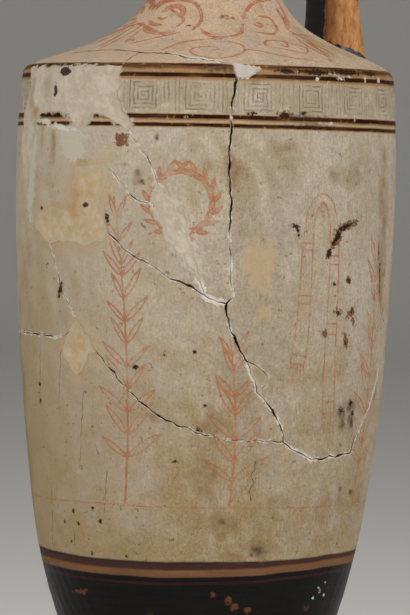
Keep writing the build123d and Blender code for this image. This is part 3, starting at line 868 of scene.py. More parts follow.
# Azimuth, along, half-size across and along, and the tilt in degrees if there is one.
MARKS: dict[Kind, tuple[tuple[float, ...], ...]] = {
    Kind.DARK: (
        (100, -49.9, 3.8, 0.8, 22), (96.6, -53.4, 3.4, 0.9, 52), (93.6, -58.4, 0.9, 1.6, -25),
        (82.3, -51.4, 0.5, 1.8, 20), (81.2, -49.8, 1.3, 0.5), (102.5, -67, 1, 1.2, 30),
        (96.4, -68.2, 0.8, 0.5), (104.8, -77.2, 0.5, 1.4, -40), (98.6, -77.6, 0.8, 0.5, -30),
        (102.8, -86.9, 0.4, 1.1, 25), (110.2, -112.6, 0.5, 1.5), (103.6, -109.3, 0.7, 0.6),
        (118.8, -57.3, 0.4, 2.4), (108.6, -106.9, 1.1, 0.8), (110.2, -110.4, 0.8, 1.2),
        (121.1, -67, 0.4, 4.5, 8), (77.3, -15, 2, 1.1), (83.2, -14.3, 1.4, 0.5, 20),
        (67, -14.6, 1.6, 0.5, 10), (78, -0.8, 4, 0.9), (88, -0.6, 7, 1.1), (101, -0.1, 7.5, 1.2),
        (113, 0.1, 5, 1), (5.7, -72.2, 0.8, 2.6, -20), (16.4, -44.5, 1.1, 0.8),
        (24.3, -48.8, 0.6, 1.5, 10), (-3.2, -46, 0.8, 0.7), (5.6, -1.9, 2.6, 1.5), (1.5, -7.9, 0.9, 1.9),
        (33.7, -95.8, 1, 0.7), (53.6, -115.4, 0.9, 0.7), (9, -147.5, 0.7, 0.6), (7, -143.8, 0.7, 0.7),
        (16.1, -142.2, 0.6, 0.6), (2.1, -147.5, 0.5, 0.5), (18.9, -146.3, 0.8, 0.7),
        (14.2, -157.1, 0.6, 0.5), (28.7, -157.3, 0.6, 0.5), (4.7, -153.9, 0.5, 0.5),
        (-8, -103.4, 0.5, 0.5), (-8, -108.7, 0.4, 1.1), (42.7, -91.6, 0.5, 0.4),
        (51.9, -90.4, 0.5, 0.7, 20), (55.4, -107.6, 0.6, 0.5), (46.3, -125.9, 0.8, 0.5),
        (38.4, 32.9, 1.2, 0.4), (61.8, 37.4, 0.5, 0.4),
    ),
    Kind.CLAY: (
        (4.6, -170.8, 3.4, 0.6, 6), (66, -171.5, 1.2, 1), (68.5, -173.5, 1.6, 1.2),
        (60, -169.5, 0.9, 0.7), (74, -175, 1.4, 1), (102, -175, 1.3, 0.9), (36, -177, 1.1, 0.7),
    ),
    Kind.RUST: (
        (28.3, -23.7, 2.3, 2.2, 20), (93.6, -84.3, 1.4, 1), (104.5, -77.8, 1.4, 2.2, -40),
        (98.9, -77.4, 1.7, 1.1, -30), (103, -86.4, 1, 2.3, 25), (101, -49.6, 4.8, 1.2, 18),
        (96.4, -54.4, 3.4, 1.3, 52), (106, -79.8, 0.8, 1.2), (77.3, -15, 2.4, 1.4),
    ),
    Kind.WHITE: (
        (-2.4, -18.3, 3.2, 0.9, -6), (4, -19.6, 4, 0.8, -12), (11, -20.8, 3.5, 0.5, -4),
        (88.4, -3, 0.4, 0.5), (98.3, -2.6, 0.9, 0.3), (110, -2.5, 0.4, 0.7), (118.5, -2.5, 1, 1),
        (48.4, -16.1, 0.8, 0.4), (94.5, -0.9, 4, 0.3), (92, -17.1, 1.4, 0.3), (82.4, -0.9, 1.2, 0.3),
        (101.9, -1.6, 1, 0.3), (109.5, -1.8, 0.9, 0.3), (103.6, -15.6, 0.25, 0.8),
        (108, -169.5, 0.6, 0.4), (111, -171, 0.5, 0.4), (106, -168, 0.4, 0.3), (104, -171.5, 0.4, 0.3),
        (113, -168.5, 0.4, 0.3), (109.5, -166.5, 0.3, 0.3),
    ),
    Kind.PALE: (
        (11, -22.5, 5.4, 2.8, -8), (12, -27.5, 4.8, 3.4), (7.5, -25, 2.4, 4.5), (-9.8, -26, 3.2, 9),
        (-10.8, -40, 2.4, 9),
    ),
    Kind.OCHRE: (
        (70.8, -62, 5.2, 7.6), (71.7, -77, 2.6, 3), (-8.3, -14.4, 2.4, 2.4), (70.5, -97.3, 3, 2.4),
    ),
    Kind.STAIN_AND_SHADE: (
        (54.2, -30.5, 3, 3.5), (79, -24.5, 4, 2), (62.7, -31.9, 4.5, 4), (33.7, -36.3, 2.6, 2.4),
        (58, -113, 4, 4), (54.5, -131, 5, 12), (62, -145.5, 6, 4), (79.5, -138, 5, 3), (75, -153.5, 9, 3),
        (67, -156.5, 8, 1.6), (122, -50, 5, 30), (-4.1, -24.1, 1.8, 6), (103, -140, 6, 6),
        # The entry at azimuth -31 is painted shade: a long brown strip down the body's left edge as the
        # camera sees it.
        (-31, -124, 7, 40), (100, -34, 8, 4), (93, 43.5, 4, 3), (50, -8.5, 2.5, 4), (68.5, -4, 3.5, 1.5),
        (40, -112, 4, 1.6, -25), (12.2, -38, 2.4, 7.5), (5.9, -45.5, 5, 1.8), (15.2, -31.5, 4, 1.8),
        (2, -25.5, 1.5, 4.5), (-9, -14.4, 2.5, 2), (13.8, -98.2, 0.7, 2, 10),
    ),
    Kind.SMUDGE: (
        (53.5, -0.5, 3.2, 1), (57.5, -0.7, 3.4, 1.1), (61.2, -0.9, 1.8, 1), (33.3, -0.2, 2.2, 0.7),
        (39.2, -0.1, 2.4, 0.7), (58.5, 37.8, 2.2, 0.9), (65.7, 37.4, 1.6, 0.7), (75.3, -154.6, 2.6, 1.7),
        (72.5, -156, 1.2, 0.8), (104.5, -109.2, 3, 2.6), (109.1, -107.6, 2.4, 2.8),
        (109.9, -113.2, 2.2, 3.2), (105.2, -114.2, 2, 1.8), (108.3, -135.2, 1.3, 1),
        (115.9, -136.4, 1.4, 1.1), (126.6, -104.8, 1, 3.4, -10), (61.2, -145, 1.2, 0.9),
        (39.4, -22.6, 0.7, 1.8, -15), (29.8, -31.4, 1, 0.7), (33.9, -33.8, 0.8, 1.1),
        (34.6, -37, 1.3, 0.8, 20), (42.1, -50.4, 0.7, 0.8), (85, -15.2, 9, 0.7), (87, -18, 9, 0.8),
    ),
    Kind.TONE: (
        (-12, -115, 24, 70), (62, -33, 15, 13), (53, -130, 11, 28), (70, -145, 15, 13), (118, -135, 9, 26),
        (-36, 38, 16, 8), (112, 22, 14, 14), (45, -154, 70, 6),
    ),
    Kind.FILM: (
        (70, -70, 13, 62), (76, -40, 9, 30), (-4, -6, 5, 4), (-13, -10, 3, 8),
    ),
}


def mark_field(kind: Kind, place: Array, plan: Array, radius: float) -> Array:
    """How far inside a mark of a kind each point lies.

    A mark is an ellipse whose distance is counted in its own half-sizes; a soft one fades out.

    Args:
        kind: the kind of mark.
        place: the points in space.
        plan: the points in the unrolled plane.
        radius: the unrolled plane's reference radius.

    Returns:
        For a soft kind its strength from 0 to 1, otherwise millimetres, positive inside.
    """
    full = 2 * math.pi * radius
    soft = kind in (Kind.STAIN_AND_SHADE, Kind.SMUDGE, Kind.TONE, Kind.FILM)
    rag = 0.3 * waves(place, 3.0 if kind is Kind.SMUDGE else 9.0, 41) if soft else 0.0
    result = np.full(len(plan), 0.0 if soft else -REACH)
    for azimuth, along, half_across, half_along, *tilt in MARKS[kind]:
        right = (plan[:, 0] - math.radians(azimuth) * radius + full / 2) % full - full / 2
        up = plan[:, 1] - along
        turn = math.radians(sum(tilt))
        far = np.hypot((right * math.cos(turn) + up * math.sin(turn)) / half_across,
                       (up * math.cos(turn) - right * math.sin(turn)) / half_along)
        value = 1 - ease(0.2, 1.4, far + rag) if soft else min(half_across, half_along) * (1 - far)
        result = np.maximum(result, value)
    return result


def new_piece(name: str, points: Array, faces: list, fields: dict) -> bpy.types.Object:
    """Makes a smooth mesh object that stands for the node of the same name.

    Args:
        name: the node.
        points: places in millimetres.
        faces: corner numbers of each face.
        fields: attribute name to a value for each point.

    Returns:
        The new object, still without materials.
    """
    mesh = bpy.data.meshes.new(name + "_surface")
    mesh.from_pydata((points * METRES).tolist(), [], faces)
    mesh.polygons.foreach_set("use_smooth", np.ones(len(mesh.polygons), bool))
    for key, values in fields.items():
        mesh.attributes.new(key, "FLOAT", "POINT").data.foreach_set("value", values.astype(np.float32))
    piece = bpy.data.objects.new(name + "_dressed", mesh)
    bpy.context.scene.collection.objects.link(piece)
    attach(piece, "root")
    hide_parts(name)
    LOG.info("%s: %d faces", name, len(mesh.polygons))
    return piece


def grid_faces(index: Array) -> Array:
    """Quads between the neighbouring rows and columns of a grid of point numbers."""
    corners = index[:-1, :-1], index[1:, :-1], index[1:, 1:], index[:-1, 1:]
    return np.stack(corners, -1).reshape(-1, 4)


@dataclass
class Fragment:
    """A sherd or fill of the mended wall.

    outline names the breaks round it in order. A piece that goes right round the vessel gives instead
    the breaks of one edge, and in ring_end the level of the other. The grid is finest on the side
    that carries the picture, within fine_reach degrees of fine_azimuth; the inner face takes every
    lining_step-th line of it. The two faces' grids stay clear of the outline by a share of a cell.
    uneven lists the relief's waves as (height, length, seed), and box_margin keeps the relief inside the
    wall's widest circle.
    """

    name: str
    outline: tuple[str, ...]
    patch: Patch = Patch.SHERD
    cell: float = 0.5
    low_cell: float = 0.9
    proud: float = 0.0
    ring_end: float | None = None
    fine_azimuth: float = 54.0
    fine_reach: float = 92.0
    white_zone_foot: float = 0.285
    end_clear: float = 0.2
    seam_gap: float = 0.1
    least_gap: float = 0.008
    chip_depth: float = 0.22
    edge_wear: float = 0.16
    coat_depth: float = 0.14
    wheel_mark: float = 0.014
    fill_lip: float = 0.18
    skin_clear: float = 0.36
    lining_clear: float = 1.6
    lining_step: int = 5
    box_margin: float = 0.03
    uneven: tuple = ((0.16, 70.0, 5), (0.05, 18.0, 6), (0.03, 7.0, 14), (0.018, 2.8, 15))

    def fine(self, columns: Array, wall: WallOutline) -> Array:
        """Which columns lie on the finely meshed side."""
        degrees = np.degrees(columns / wall.reference_radius) - self.fine_azimuth
        return np.abs((degrees + 180) % 360 - 180) < self.fine_reach

    def loop(self, wall: WallOutline) -> tuple[Loop, Array, Array]:
        """The closed outline and its grid.

        Args:
            wall: the section that the piece lies on.

        Returns:
            The outline, and the grid's columns and rows.
        """
        line, gap, coats = lay_out(wall, self.outline)
        if self.ring_end is not None:
            return self.ring_loop(wall, line, gap, coats)
        area = (line[:, 0] * np.roll(line[:, 1], -1) - np.roll(line[:, 0], -1) * line[:, 1]).sum()
        if area < 0:
            line, gap, coats = line[::-1], gap[::-1], coats[::-1]
        low, high = line.min(0), line.max(0)
        columns = np.arange(low[0] + self.cell / 2, high[0], self.cell)
        columns = columns[self.fine(columns, wall) | (np.arange(len(columns)) % 3 == 0)]
        rows = np.arange(low[1] + self.cell / 2, high[1], self.cell)
        return Loop(line, gap, coats, np.ones(len(line), bool)), columns, rows

    def ring_loop(self, wall: WallOutline, line: Array, gap: Array,
                  coats: Array) -> tuple[Loop, Array, Array]:
        """The outline of a piece that goes right round, cut open at a seam and paired there.

        Args:
            wall: the section that the piece lies on.
            line: the broken edge, once round.
            gap: the gap at each of its points.
            coats: the coats of filler at each.

        Returns:
            The outline, and the grid's columns and rows.
        """
        end, foot = wall.along_at(self.ring_end), wall.along_at(self.white_zone_foot)
        turn = 2 * math.pi * wall.reference_radius
        left, seam = line[0]
        down = end < seam
        columns = np.linspace(left, left + turn, int(turn / self.cell) + 1)
        keep = self.fine(columns, wall) | (np.arange(len(columns)) % 3 == 0)
        keep[-1] = True
        columns = columns[keep]
        if down:
            rows = np.concatenate([np.arange(end + self.low_cell, foot, self.low_cell),
                                   np.arange(foot, line[:, 1].max(), self.cell)])
        else:
            rows = np.arange(line[:, 1].min(), end - self.end_clear, self.cell)
        between = rows[(rows > min(end, seam) + self.end_clear) & (rows < max(end, seam) - self.end_clear)]
        flat = np.stack(np.broadcast_arrays(columns, end), -1)
        broken = np.vstack([line, line[:1] + [turn, 0]])
        up_left, up_right = (np.stack(np.broadcast_arrays(at, between), -1) for at in (left, left + turn))
        first, third = (flat, broken[::-1]) if down else (broken, flat[::-1])
        sides = [first, up_right, third, up_left[::-1]]
        points = np.vstack(sides)
        counts = np.cumsum([0] + [len(side) for side in sides])
        twins = [(counts[1] - 1, counts[0]), (counts[2], counts[3] - 1)]
        twins += [(counts[1] + k, counts[4] - 1 - k) for k in range(len(between))]
        start = counts[2] if down else 0
        span = slice(start, start + len(broken))
        way = -1 if down else 1
        worn = np.zeros(len(points), bool)
        worn[span] = True
        worn[span.stop - 1] = False
        all_gap, all_coats = np.full(len(points), self.seam_gap), np.zeros((len(points), 3))
        all_gap[span] = np.append(gap, gap[0])[::way]
        all_coats[span] = np.vstack([coats, coats[:1]])[::way]
        base = slice(counts[0], counts[1]) if down else None
        return Loop(points, all_gap, all_coats, worn, twins, base), columns[1:-1], rows

    def drawn_in(self, loop: Loop, plan: Array, wall: WallOutline) -> Array:
        """The plan with its outline drawn in by half the gap, more where the edge has chipped.

        Args:
            loop: the outline.
            plan: points of the unrolled plane, the outline's first.
            wall: the section that they lie on.

        Returns:
            The moved points.
        """
        inward = left_of(np.roll(loop.points, -1, 0) - np.roll(loop.points, 1, 0))
        place = wall.face("outer", loop.points)
        chip = ease(0.7, 1.3, waves(place, 5.0, 31)) * self.chip_depth * ease(0.2, 0.5, loop.gap)
        shrink = loop.gap / 2 * (1 + 0.4 * waves(place, 7.0, 17)) + chip
        moved = plan.copy()
        moved[: len(inward)] += inward * (np.maximum(shrink, self.least_gap) * loop.worn)[:, None]
        for old, new in loop.twins:
            moved[old] = moved[new] + [loop.points[old, 0] - loop.points[new, 0], 0]
        return moved

    def relief(self, place: Array, values: Array) -> Array:
        """How far the outer face stands out: unevenness, wheel marks, coats and rubbed break edges.

        Args:
            place: the points in space.
            values: the outline's values at each.

        Returns:
            Millimetres for each point.
        """
        proud = sum(high * waves(place, length, seed) for high, length, seed in self.uneven)
        proud = proud + self.wheel_mark * waves(place[:, 2:], 6.0, 8) - self.edge_wear * values[:, 1]
        proud += self.coat_depth * ease(-0.4, 0.3, values[:, 2:].max(1) + 0.6 * waves(place, 4.0, 19))
        if self.patch is not Patch.SHERD:
            lump = 0.08 * waves(place, 9.0, 12) + 0.035 * waves(place, 3.2, 13) + self.proud
            proud += self.fill_lip * np.exp(-values[:, 0] / 0.8) + lump * ease(0.1, 3.0, values[:, 0])
        return proud

    def build(self, wall: WallOutline, strokes: dict[str, list[Stroke]], finishes: dict) -> None:
        """Makes the piece as a closed wall: outer face, broken edge and inner face.

        The rim is where a side of a triangle has no neighbour that runs it the other way.

        Args:
            wall: the section that it lies on.
            strokes: brush lines by family.
            finishes: materials by name.
        """
        loop, columns, rows = self.loop(wall)
        skin = fill_loop(loop, columns, rows, self.skin_clear * self.cell, self.fine(columns, wall))
        wide, tall = columns[:: self.lining_step], rows[:: self.lining_step]
        lining = fill_loop(loop, wide, tall, self.lining_clear * self.cell, np.ones(len(wide), bool))
        plan = self.drawn_in(loop, skin.plan, wall)
        place = wall.face("outer", plan)
        room = wall.table["outer"][:, 0].max() - self.box_margin - np.hypot(place[:, 0], place[:, 1])
        outer = wall.face("outer", plan, np.minimum(self.relief(place, skin.values), room))
        inner = wall.face("inner", self.drawn_in(loop, lining.plan, wall))
        points = np.vstack([outer, inner])
        shift = len(outer)
        faces = [skin.faces, lining.faces[:, ::-1] + shift]
        sides = np.vstack([skin.faces[:, ends] for ends in ([0, 1], [1, 2], [2, 0])]).astype(np.int64)
        rim = sides[~np.isin(sides @ [shift, 1], sides @ [1, shift])]
        if loop.base is not None:
            bottom = (np.abs(plan[rim, 1] - plan[loop.base.start, 1]) < 1e-6).all(1)
            floor, rim = rim[bottom], rim[~bottom]
            points = np.vstack([points, [[0, 0, face[floor[0, 0], 2]] for face in (outer, inner)]])
            hub = np.full(len(floor), len(points) - 2)
            faces.append(np.stack([floor[:, 1], floor[:, 0], hub], -1))
            faces.append(np.stack([floor[:, 0] + shift, floor[:, 1] + shift, hub + 1], -1))
        faces.append(np.stack([rim[:, 1], rim[:, 0], rim[:, 0] + shift], -1))
        faces.append(np.stack([rim[:, 1], rim[:, 0] + shift, rim[:, 1] + shift], -1))
        corners = np.vstack(faces)
        used, index = np.unique(corners, return_inverse=True)
        rest = np.zeros(len(points) - shift)
        found = self.fields(place, plan, skin, strokes, wall)
        fields = {key: np.concatenate([values, rest])[used] for key, values in found.items()}
        piece = new_piece(self.name, points[used], index.reshape(-1, 3).tolist(), fields)
        mesh = piece.data
        behind = np.arange(len(corners)) >= len(skin.faces)
        mesh.polygons.foreach_set("material_index", behind.astype(np.int32))
        ends = np.empty(len(mesh.edges) * 2, np.int32)
        mesh.edges.foreach_get("vertices", ends)
        pair = ends.reshape(-1, 2)
        on_rim = np.isin(used, np.concatenate([rim.ravel(), rim.ravel() + shift]))
        outside = used < shift
        sharp = on_rim[pair].all(1) & (outside[pair[:, 0]] == outside[pair[:, 1]])
        mesh.edges.foreach_set("use_edge_sharp", sharp)
        mesh.materials.append(finishes[self.patch.value])
        mesh.materials.append(finishes["fired_clay" if self.patch is Patch.SHERD else self.patch.value])

    def fields(self, place: Array, plan: Array, skin: Skin, strokes: dict, wall: WallOutline) -> dict:
        """Values that the finish reads at each point of the outer face.

        Args:
            place: the points in space.
            plan: the points in the unrolled plane.
            skin: the triangulation with its values.
            strokes: brush lines by family.
            wall: the section.

        Returns:
            Attribute name to values.
        """
        found = {kind.value: mark_field(kind, place, plan, wall.reference_radius) for kind in Kind}
        found["edge_mm"], found["rubbed"], *coats = skin.values.T
        for kind, coat in zip((Kind.WHITE, Kind.PALE, Kind.OCHRE), coats):
            found[kind.value] = np.maximum(found[kind.value], coat)
        if self.patch is Patch.SHERD:
            found["scroll_mm"] = stroke_field(place, strokes["scroll"])
            found["drawing_mm"] = stroke_field(place, strokes["drawing"])
            found["hair_side"], found["hair_near"] = hair_field(place, strokes["hairline"])
        return found


FRAGMENTS = (
    Fragment("lower_body", ("girdle_right", "-girdle_back", "-girdle_left", "small_fill", "-low_arc"),
        cell=0.6, ring_end=0.0),
    Fragment("back_sherd", ("arris_back", "-upper_fill_left", "-upper_fill_foot", "upper_slant",
        "slanting_fill_left_high", "-short_slant", "ochre_fill_left", "-left_slant_high", "girdle_near",
        "girdle_left", "girdle_back", "-girdle_right", "-vertical_foot", "-lower_fill_right",
        "-vertical_lower", "-vertical", "wedge_fill_right"), cell=0.56),
    Fragment("upper_centre_sherd", ("vertical", "long_slant_right", "-slanting_fill_foot",
        "-slanting_fill_right", "-upper_slant", "-upper_fill_right", "shoulder_crack", "wedge_fill_left"),
        cell=0.45),
    Fragment("narrow_sherd", ("short_slant", "slanting_fill_left_low", "slanting_fill_foot",
        "long_slant_left", "-ochre_fill_right"), cell=0.45),
    Fragment("centre_sherd", ("long_slant_right", "long_slant_left", "-ochre_fill_foot",
        "-left_slant_high", "-left_slant_low", "-low_arc", "-vertical_foot", "-lower_fill_left",
        "-vertical_lower"), cell=0.45),
    Fragment("shoulder", ("arris_back", "arris_front", "shoulder_crack", "wedge_fill_top"), cell=0.42,
        ring_end=2.0),
    Fragment("upper_plaster_fill", ("arris_front", "upper_fill_right", "upper_fill_foot",
        "upper_fill_left"), Patch.PALE, proud=-0.1),
    Fragment("ochre_fill", ("ochre_fill_right", "-ochre_fill_foot", "-ochre_fill_left"), Patch.OCHRE,
        proud=-0.05),
    Fragment("slanting_plaster_fill", ("slanting_fill_right", "-slanting_fill_left_low",
        "-slanting_fill_left_high"), Patch.PALE, proud=-0.08),
    Fragment("small_ochre_fill", ("small_fill", "left_slant_low", "girdle_near"), Patch.OCHRE,
        proud=-0.06),
    Fragment("lower_plaster_fill", ("lower_fill_right", "-lower_fill_left"), Patch.TONED, proud=-0.12),
    Fragment("wedge_plaster_fill", ("wedge_fill_top", "-wedge_fill_right", "-wedge_fill_left"),
        Patch.WHITE, proud=-0.06),
)


def curve(*knots: tuple[float, float], steps: int) -> Array:
    """Points of a cubic Bezier, or of a straight run between two knots, without its last point."""
    share = np.linspace(0, 1, steps + 1)[:-1, None]
    return cubic(knots if len(knots) == 4 else (knots[0], *knots, knots[1]), share)


@dataclass
class ThrownPiece:
    """A piece turned on the wheel: a closed section of (radius, height) runs, spun round the neck."""

    name: str
    runs: tuple[tuple[tuple[float, float], ...], ...]
    columns: int = 160
    curve_steps: int = 44
    straight_steps: int = 4
    wheel_mark: float = 0.05
    sharp_angle: float = 38.0

    def build(self, wall: WallOutline, finish: Material) -> None:
        """Makes the piece.

        A point is (radius sin t, -radius cos t, height), with wheel marks as ripples of the radius.

        Args:
            wall: gives the lean of the neck's axis.
            finish: its material.
        """
        steps = {4: self.curve_steps, 2: self.straight_steps}
        section = np.vstack([curve(*run, steps=steps[len(run)]) for run in self.runs])
        turn = np.linspace(0, 2 * math.pi, self.columns, endpoint=False)[:, None]
        radius = section[:, 0] + self.wheel_mark * waves(section[:, 1:], 5.0, 23)
        axes = np.broadcast_arrays(radius * np.sin(turn), -radius * np.cos(turn), section[:, 1])
        grid = np.stack(axes, -1)
        points = grid.reshape(-1, 3)
        index = np.arange(len(points)).reshape(grid.shape[:2])
        faces = grid_faces(np.pad(index, ((0, 1), (0, 1)), mode="wrap")).tolist()
        piece = new_piece(self.name, points + wall.drift(points[:, 2]), faces, {})
        piece.data.set_sharp_from_angle(angle=math.radians(self.sharp_angle))
        piece.data.materials.append(finish)


NECK = ThrownPiece("neck", (
    ((15.3, 272), (15.3, 277)), ((15.3, 277), (20.5, 277)),
    ((20.5, 277), (17.7, 297.5), (13.2, 307), (16.5, 319)),
    ((16.5, 319), (14, 319)), ((14, 319), (14, 324)), ((14, 324), (11, 324)),
    ((11, 324), (9.35, 307), (10.65, 297.5), (12.3, 272)), ((12.3, 272), (15.3, 272)),
))
MOUTH = ThrownPiece("mouth", (
    ((14.2, 319), (18.5, 319)), ((18.5, 319), (21.1, 319), (21.1, 323.5), (18.5, 323.5)),
    ((18.5, 323.5), (27, 331.5), (27.5, 357), (33.85, 378.2)),
    ((33.85, 378.2), (33.95, 378.7), (33.6, 379), (33, 379)), ((33, 379), (29, 379)),
    ((29, 379), (28.4, 379), (28, 378.7), (27.8, 378.2)),
    ((27.8, 378.2), (21.5, 357), (21, 336), (11, 328)),
    ((11, 328), (11, 324.2)), ((11, 324.2), (14.2, 324.2)), ((14.2, 324.2), (14.2, 319)),
))


@dataclass
class StrapHandle:
    """The pulled strap: a rounded section carried along a curve from the shoulder to the neck.

    It widens towards both ends over end_share of its length. Its ends sink root_sink into the shoulder
    and, from neck_share on, tip_sink into the neck, where the clay was pressed on. It leans with the neck
    between lean_from and lean_to. One side is bare clay from bare_from, outer_bare further out on its
    outer face, and from root_band above the shoulder.
    """

    path: tuple = ((52.0, 247.0), (52.0, 295.0), (45.5, 315.0), (13.75, 307.0))
    neck_run: tuple = ((20.5, 277.0), (17.7, 297.5), (13.2, 307.0), (16.5, 319.0))
    width: float = 18.5
    thickness: float = 11.5
    root_width: float = 6.5
    root_thickness: float = 4.5
    tip_width: float = 3.0
    end_share: float = 0.2
    corner: float = 0.42
    root_sink: float = 2.0
    tip_sink: float = 1.0
    lean_from: float = 268.0
    lean_to: float = 300.0
    bare_from: float = 3.5
    outer_bare: float = 4.8
    root_band: float = 5.0
    neck_share: float = 0.75
    sharp_angle: float = 60.0
    rows: int = 110
    columns: int = 72

    def build(self, wall: WallOutline, finish: Material) -> None:
        """Makes the strap.

        The section is a superellipse, (|cos t| ** corner, |sin t| ** corner) of its half-sizes.

        Args:
            wall: the wall that it is pressed on.
            finish: its material.
        """
        share = np.linspace(0, 1, self.rows)[:, None]
        middle, neck = cubic(self.path, share), cubic(self.neck_run, share)
        ahead = unit(np.gradient(middle, axis=0))
        root = np.clip(1 - share / self.end_share, 0, 1) ** 1.5
        tip = np.clip(1 - (1 - share) / self.end_share, 0, 1)
        turn = np.linspace(0, 2 * math.pi, self.columns, endpoint=False)
        side, out = (np.sign(wave) * np.abs(wave) ** self.corner for wave in (np.cos(turn), np.sin(turn)))
        across = side * (self.width + self.root_width * root + self.tip_width * tip) / 2
        proud = out * (self.thickness + self.root_thickness * root) / 2
        back, up = middle[:, :1] + ahead[:, 1:] * proud, middle[:, 1:] - ahead[:, :1] * proud
        points = np.stack([across, back, up], -1).reshape(-1, 3)
        points = points * (1 + 0.012 * waves(points, 22.0, 61)[:, None] * [1, 0, 0])
        upper = wall.table["outer"][wall.table["along"] >= 0]
        far = np.hypot(points[:, 0], points[:, 1])
        shoulder = np.interp(-far, -upper[:, 0], upper[:, 1])
        points[:, 2] = np.maximum(points[:, 2], shoulder - self.root_sink)
        outer = np.tile(ease(-0.6, 0.6, out), self.rows)
        bare = np.minimum(points[:, 0] - self.bare_from - self.outer_bare * outer,
                          points[:, 2] - shoulder - self.root_band)
        lean = ease(self.lean_from, self.lean_to, points[:, 2])[:, None] * wall.drift([self.lean_to])
        reach = np.interp(points[:, 2], neck[:, 1], neck[:, 0]) - self.tip_sink
        out_by = np.maximum(1, reach / np.maximum(far, 0.1))
        at_neck = np.repeat(share[:, 0], self.columns) > self.neck_share
        points[:, :2] *= np.where(at_neck, out_by, 1)[:, None]
        points = points + lean
        points = np.vstack([points, points[: self.columns].mean(0), points[-self.columns :].mean(0)])
        index = np.arange(self.rows * self.columns).reshape(self.rows, self.columns)
        faces = grid_faces(np.pad(index, ((0, 0), (0, 1)), mode="wrap")).tolist()
        for ring, hub in ((index[0], len(points) - 2), (index[-1, ::-1], len(points) - 1)):
            faces += np.stack([ring, np.roll(ring, -1), np.full(self.columns, hub)], -1).tolist()
        fields = {"bare_mm": np.append(bare, [-9.0, -9.0])}
        piece = new_piece("handle", points, faces, fields)
        piece.data.set_sharp_from_angle(angle=math.radians(self.sharp_angle))
        piece.data.materials.append(finish)


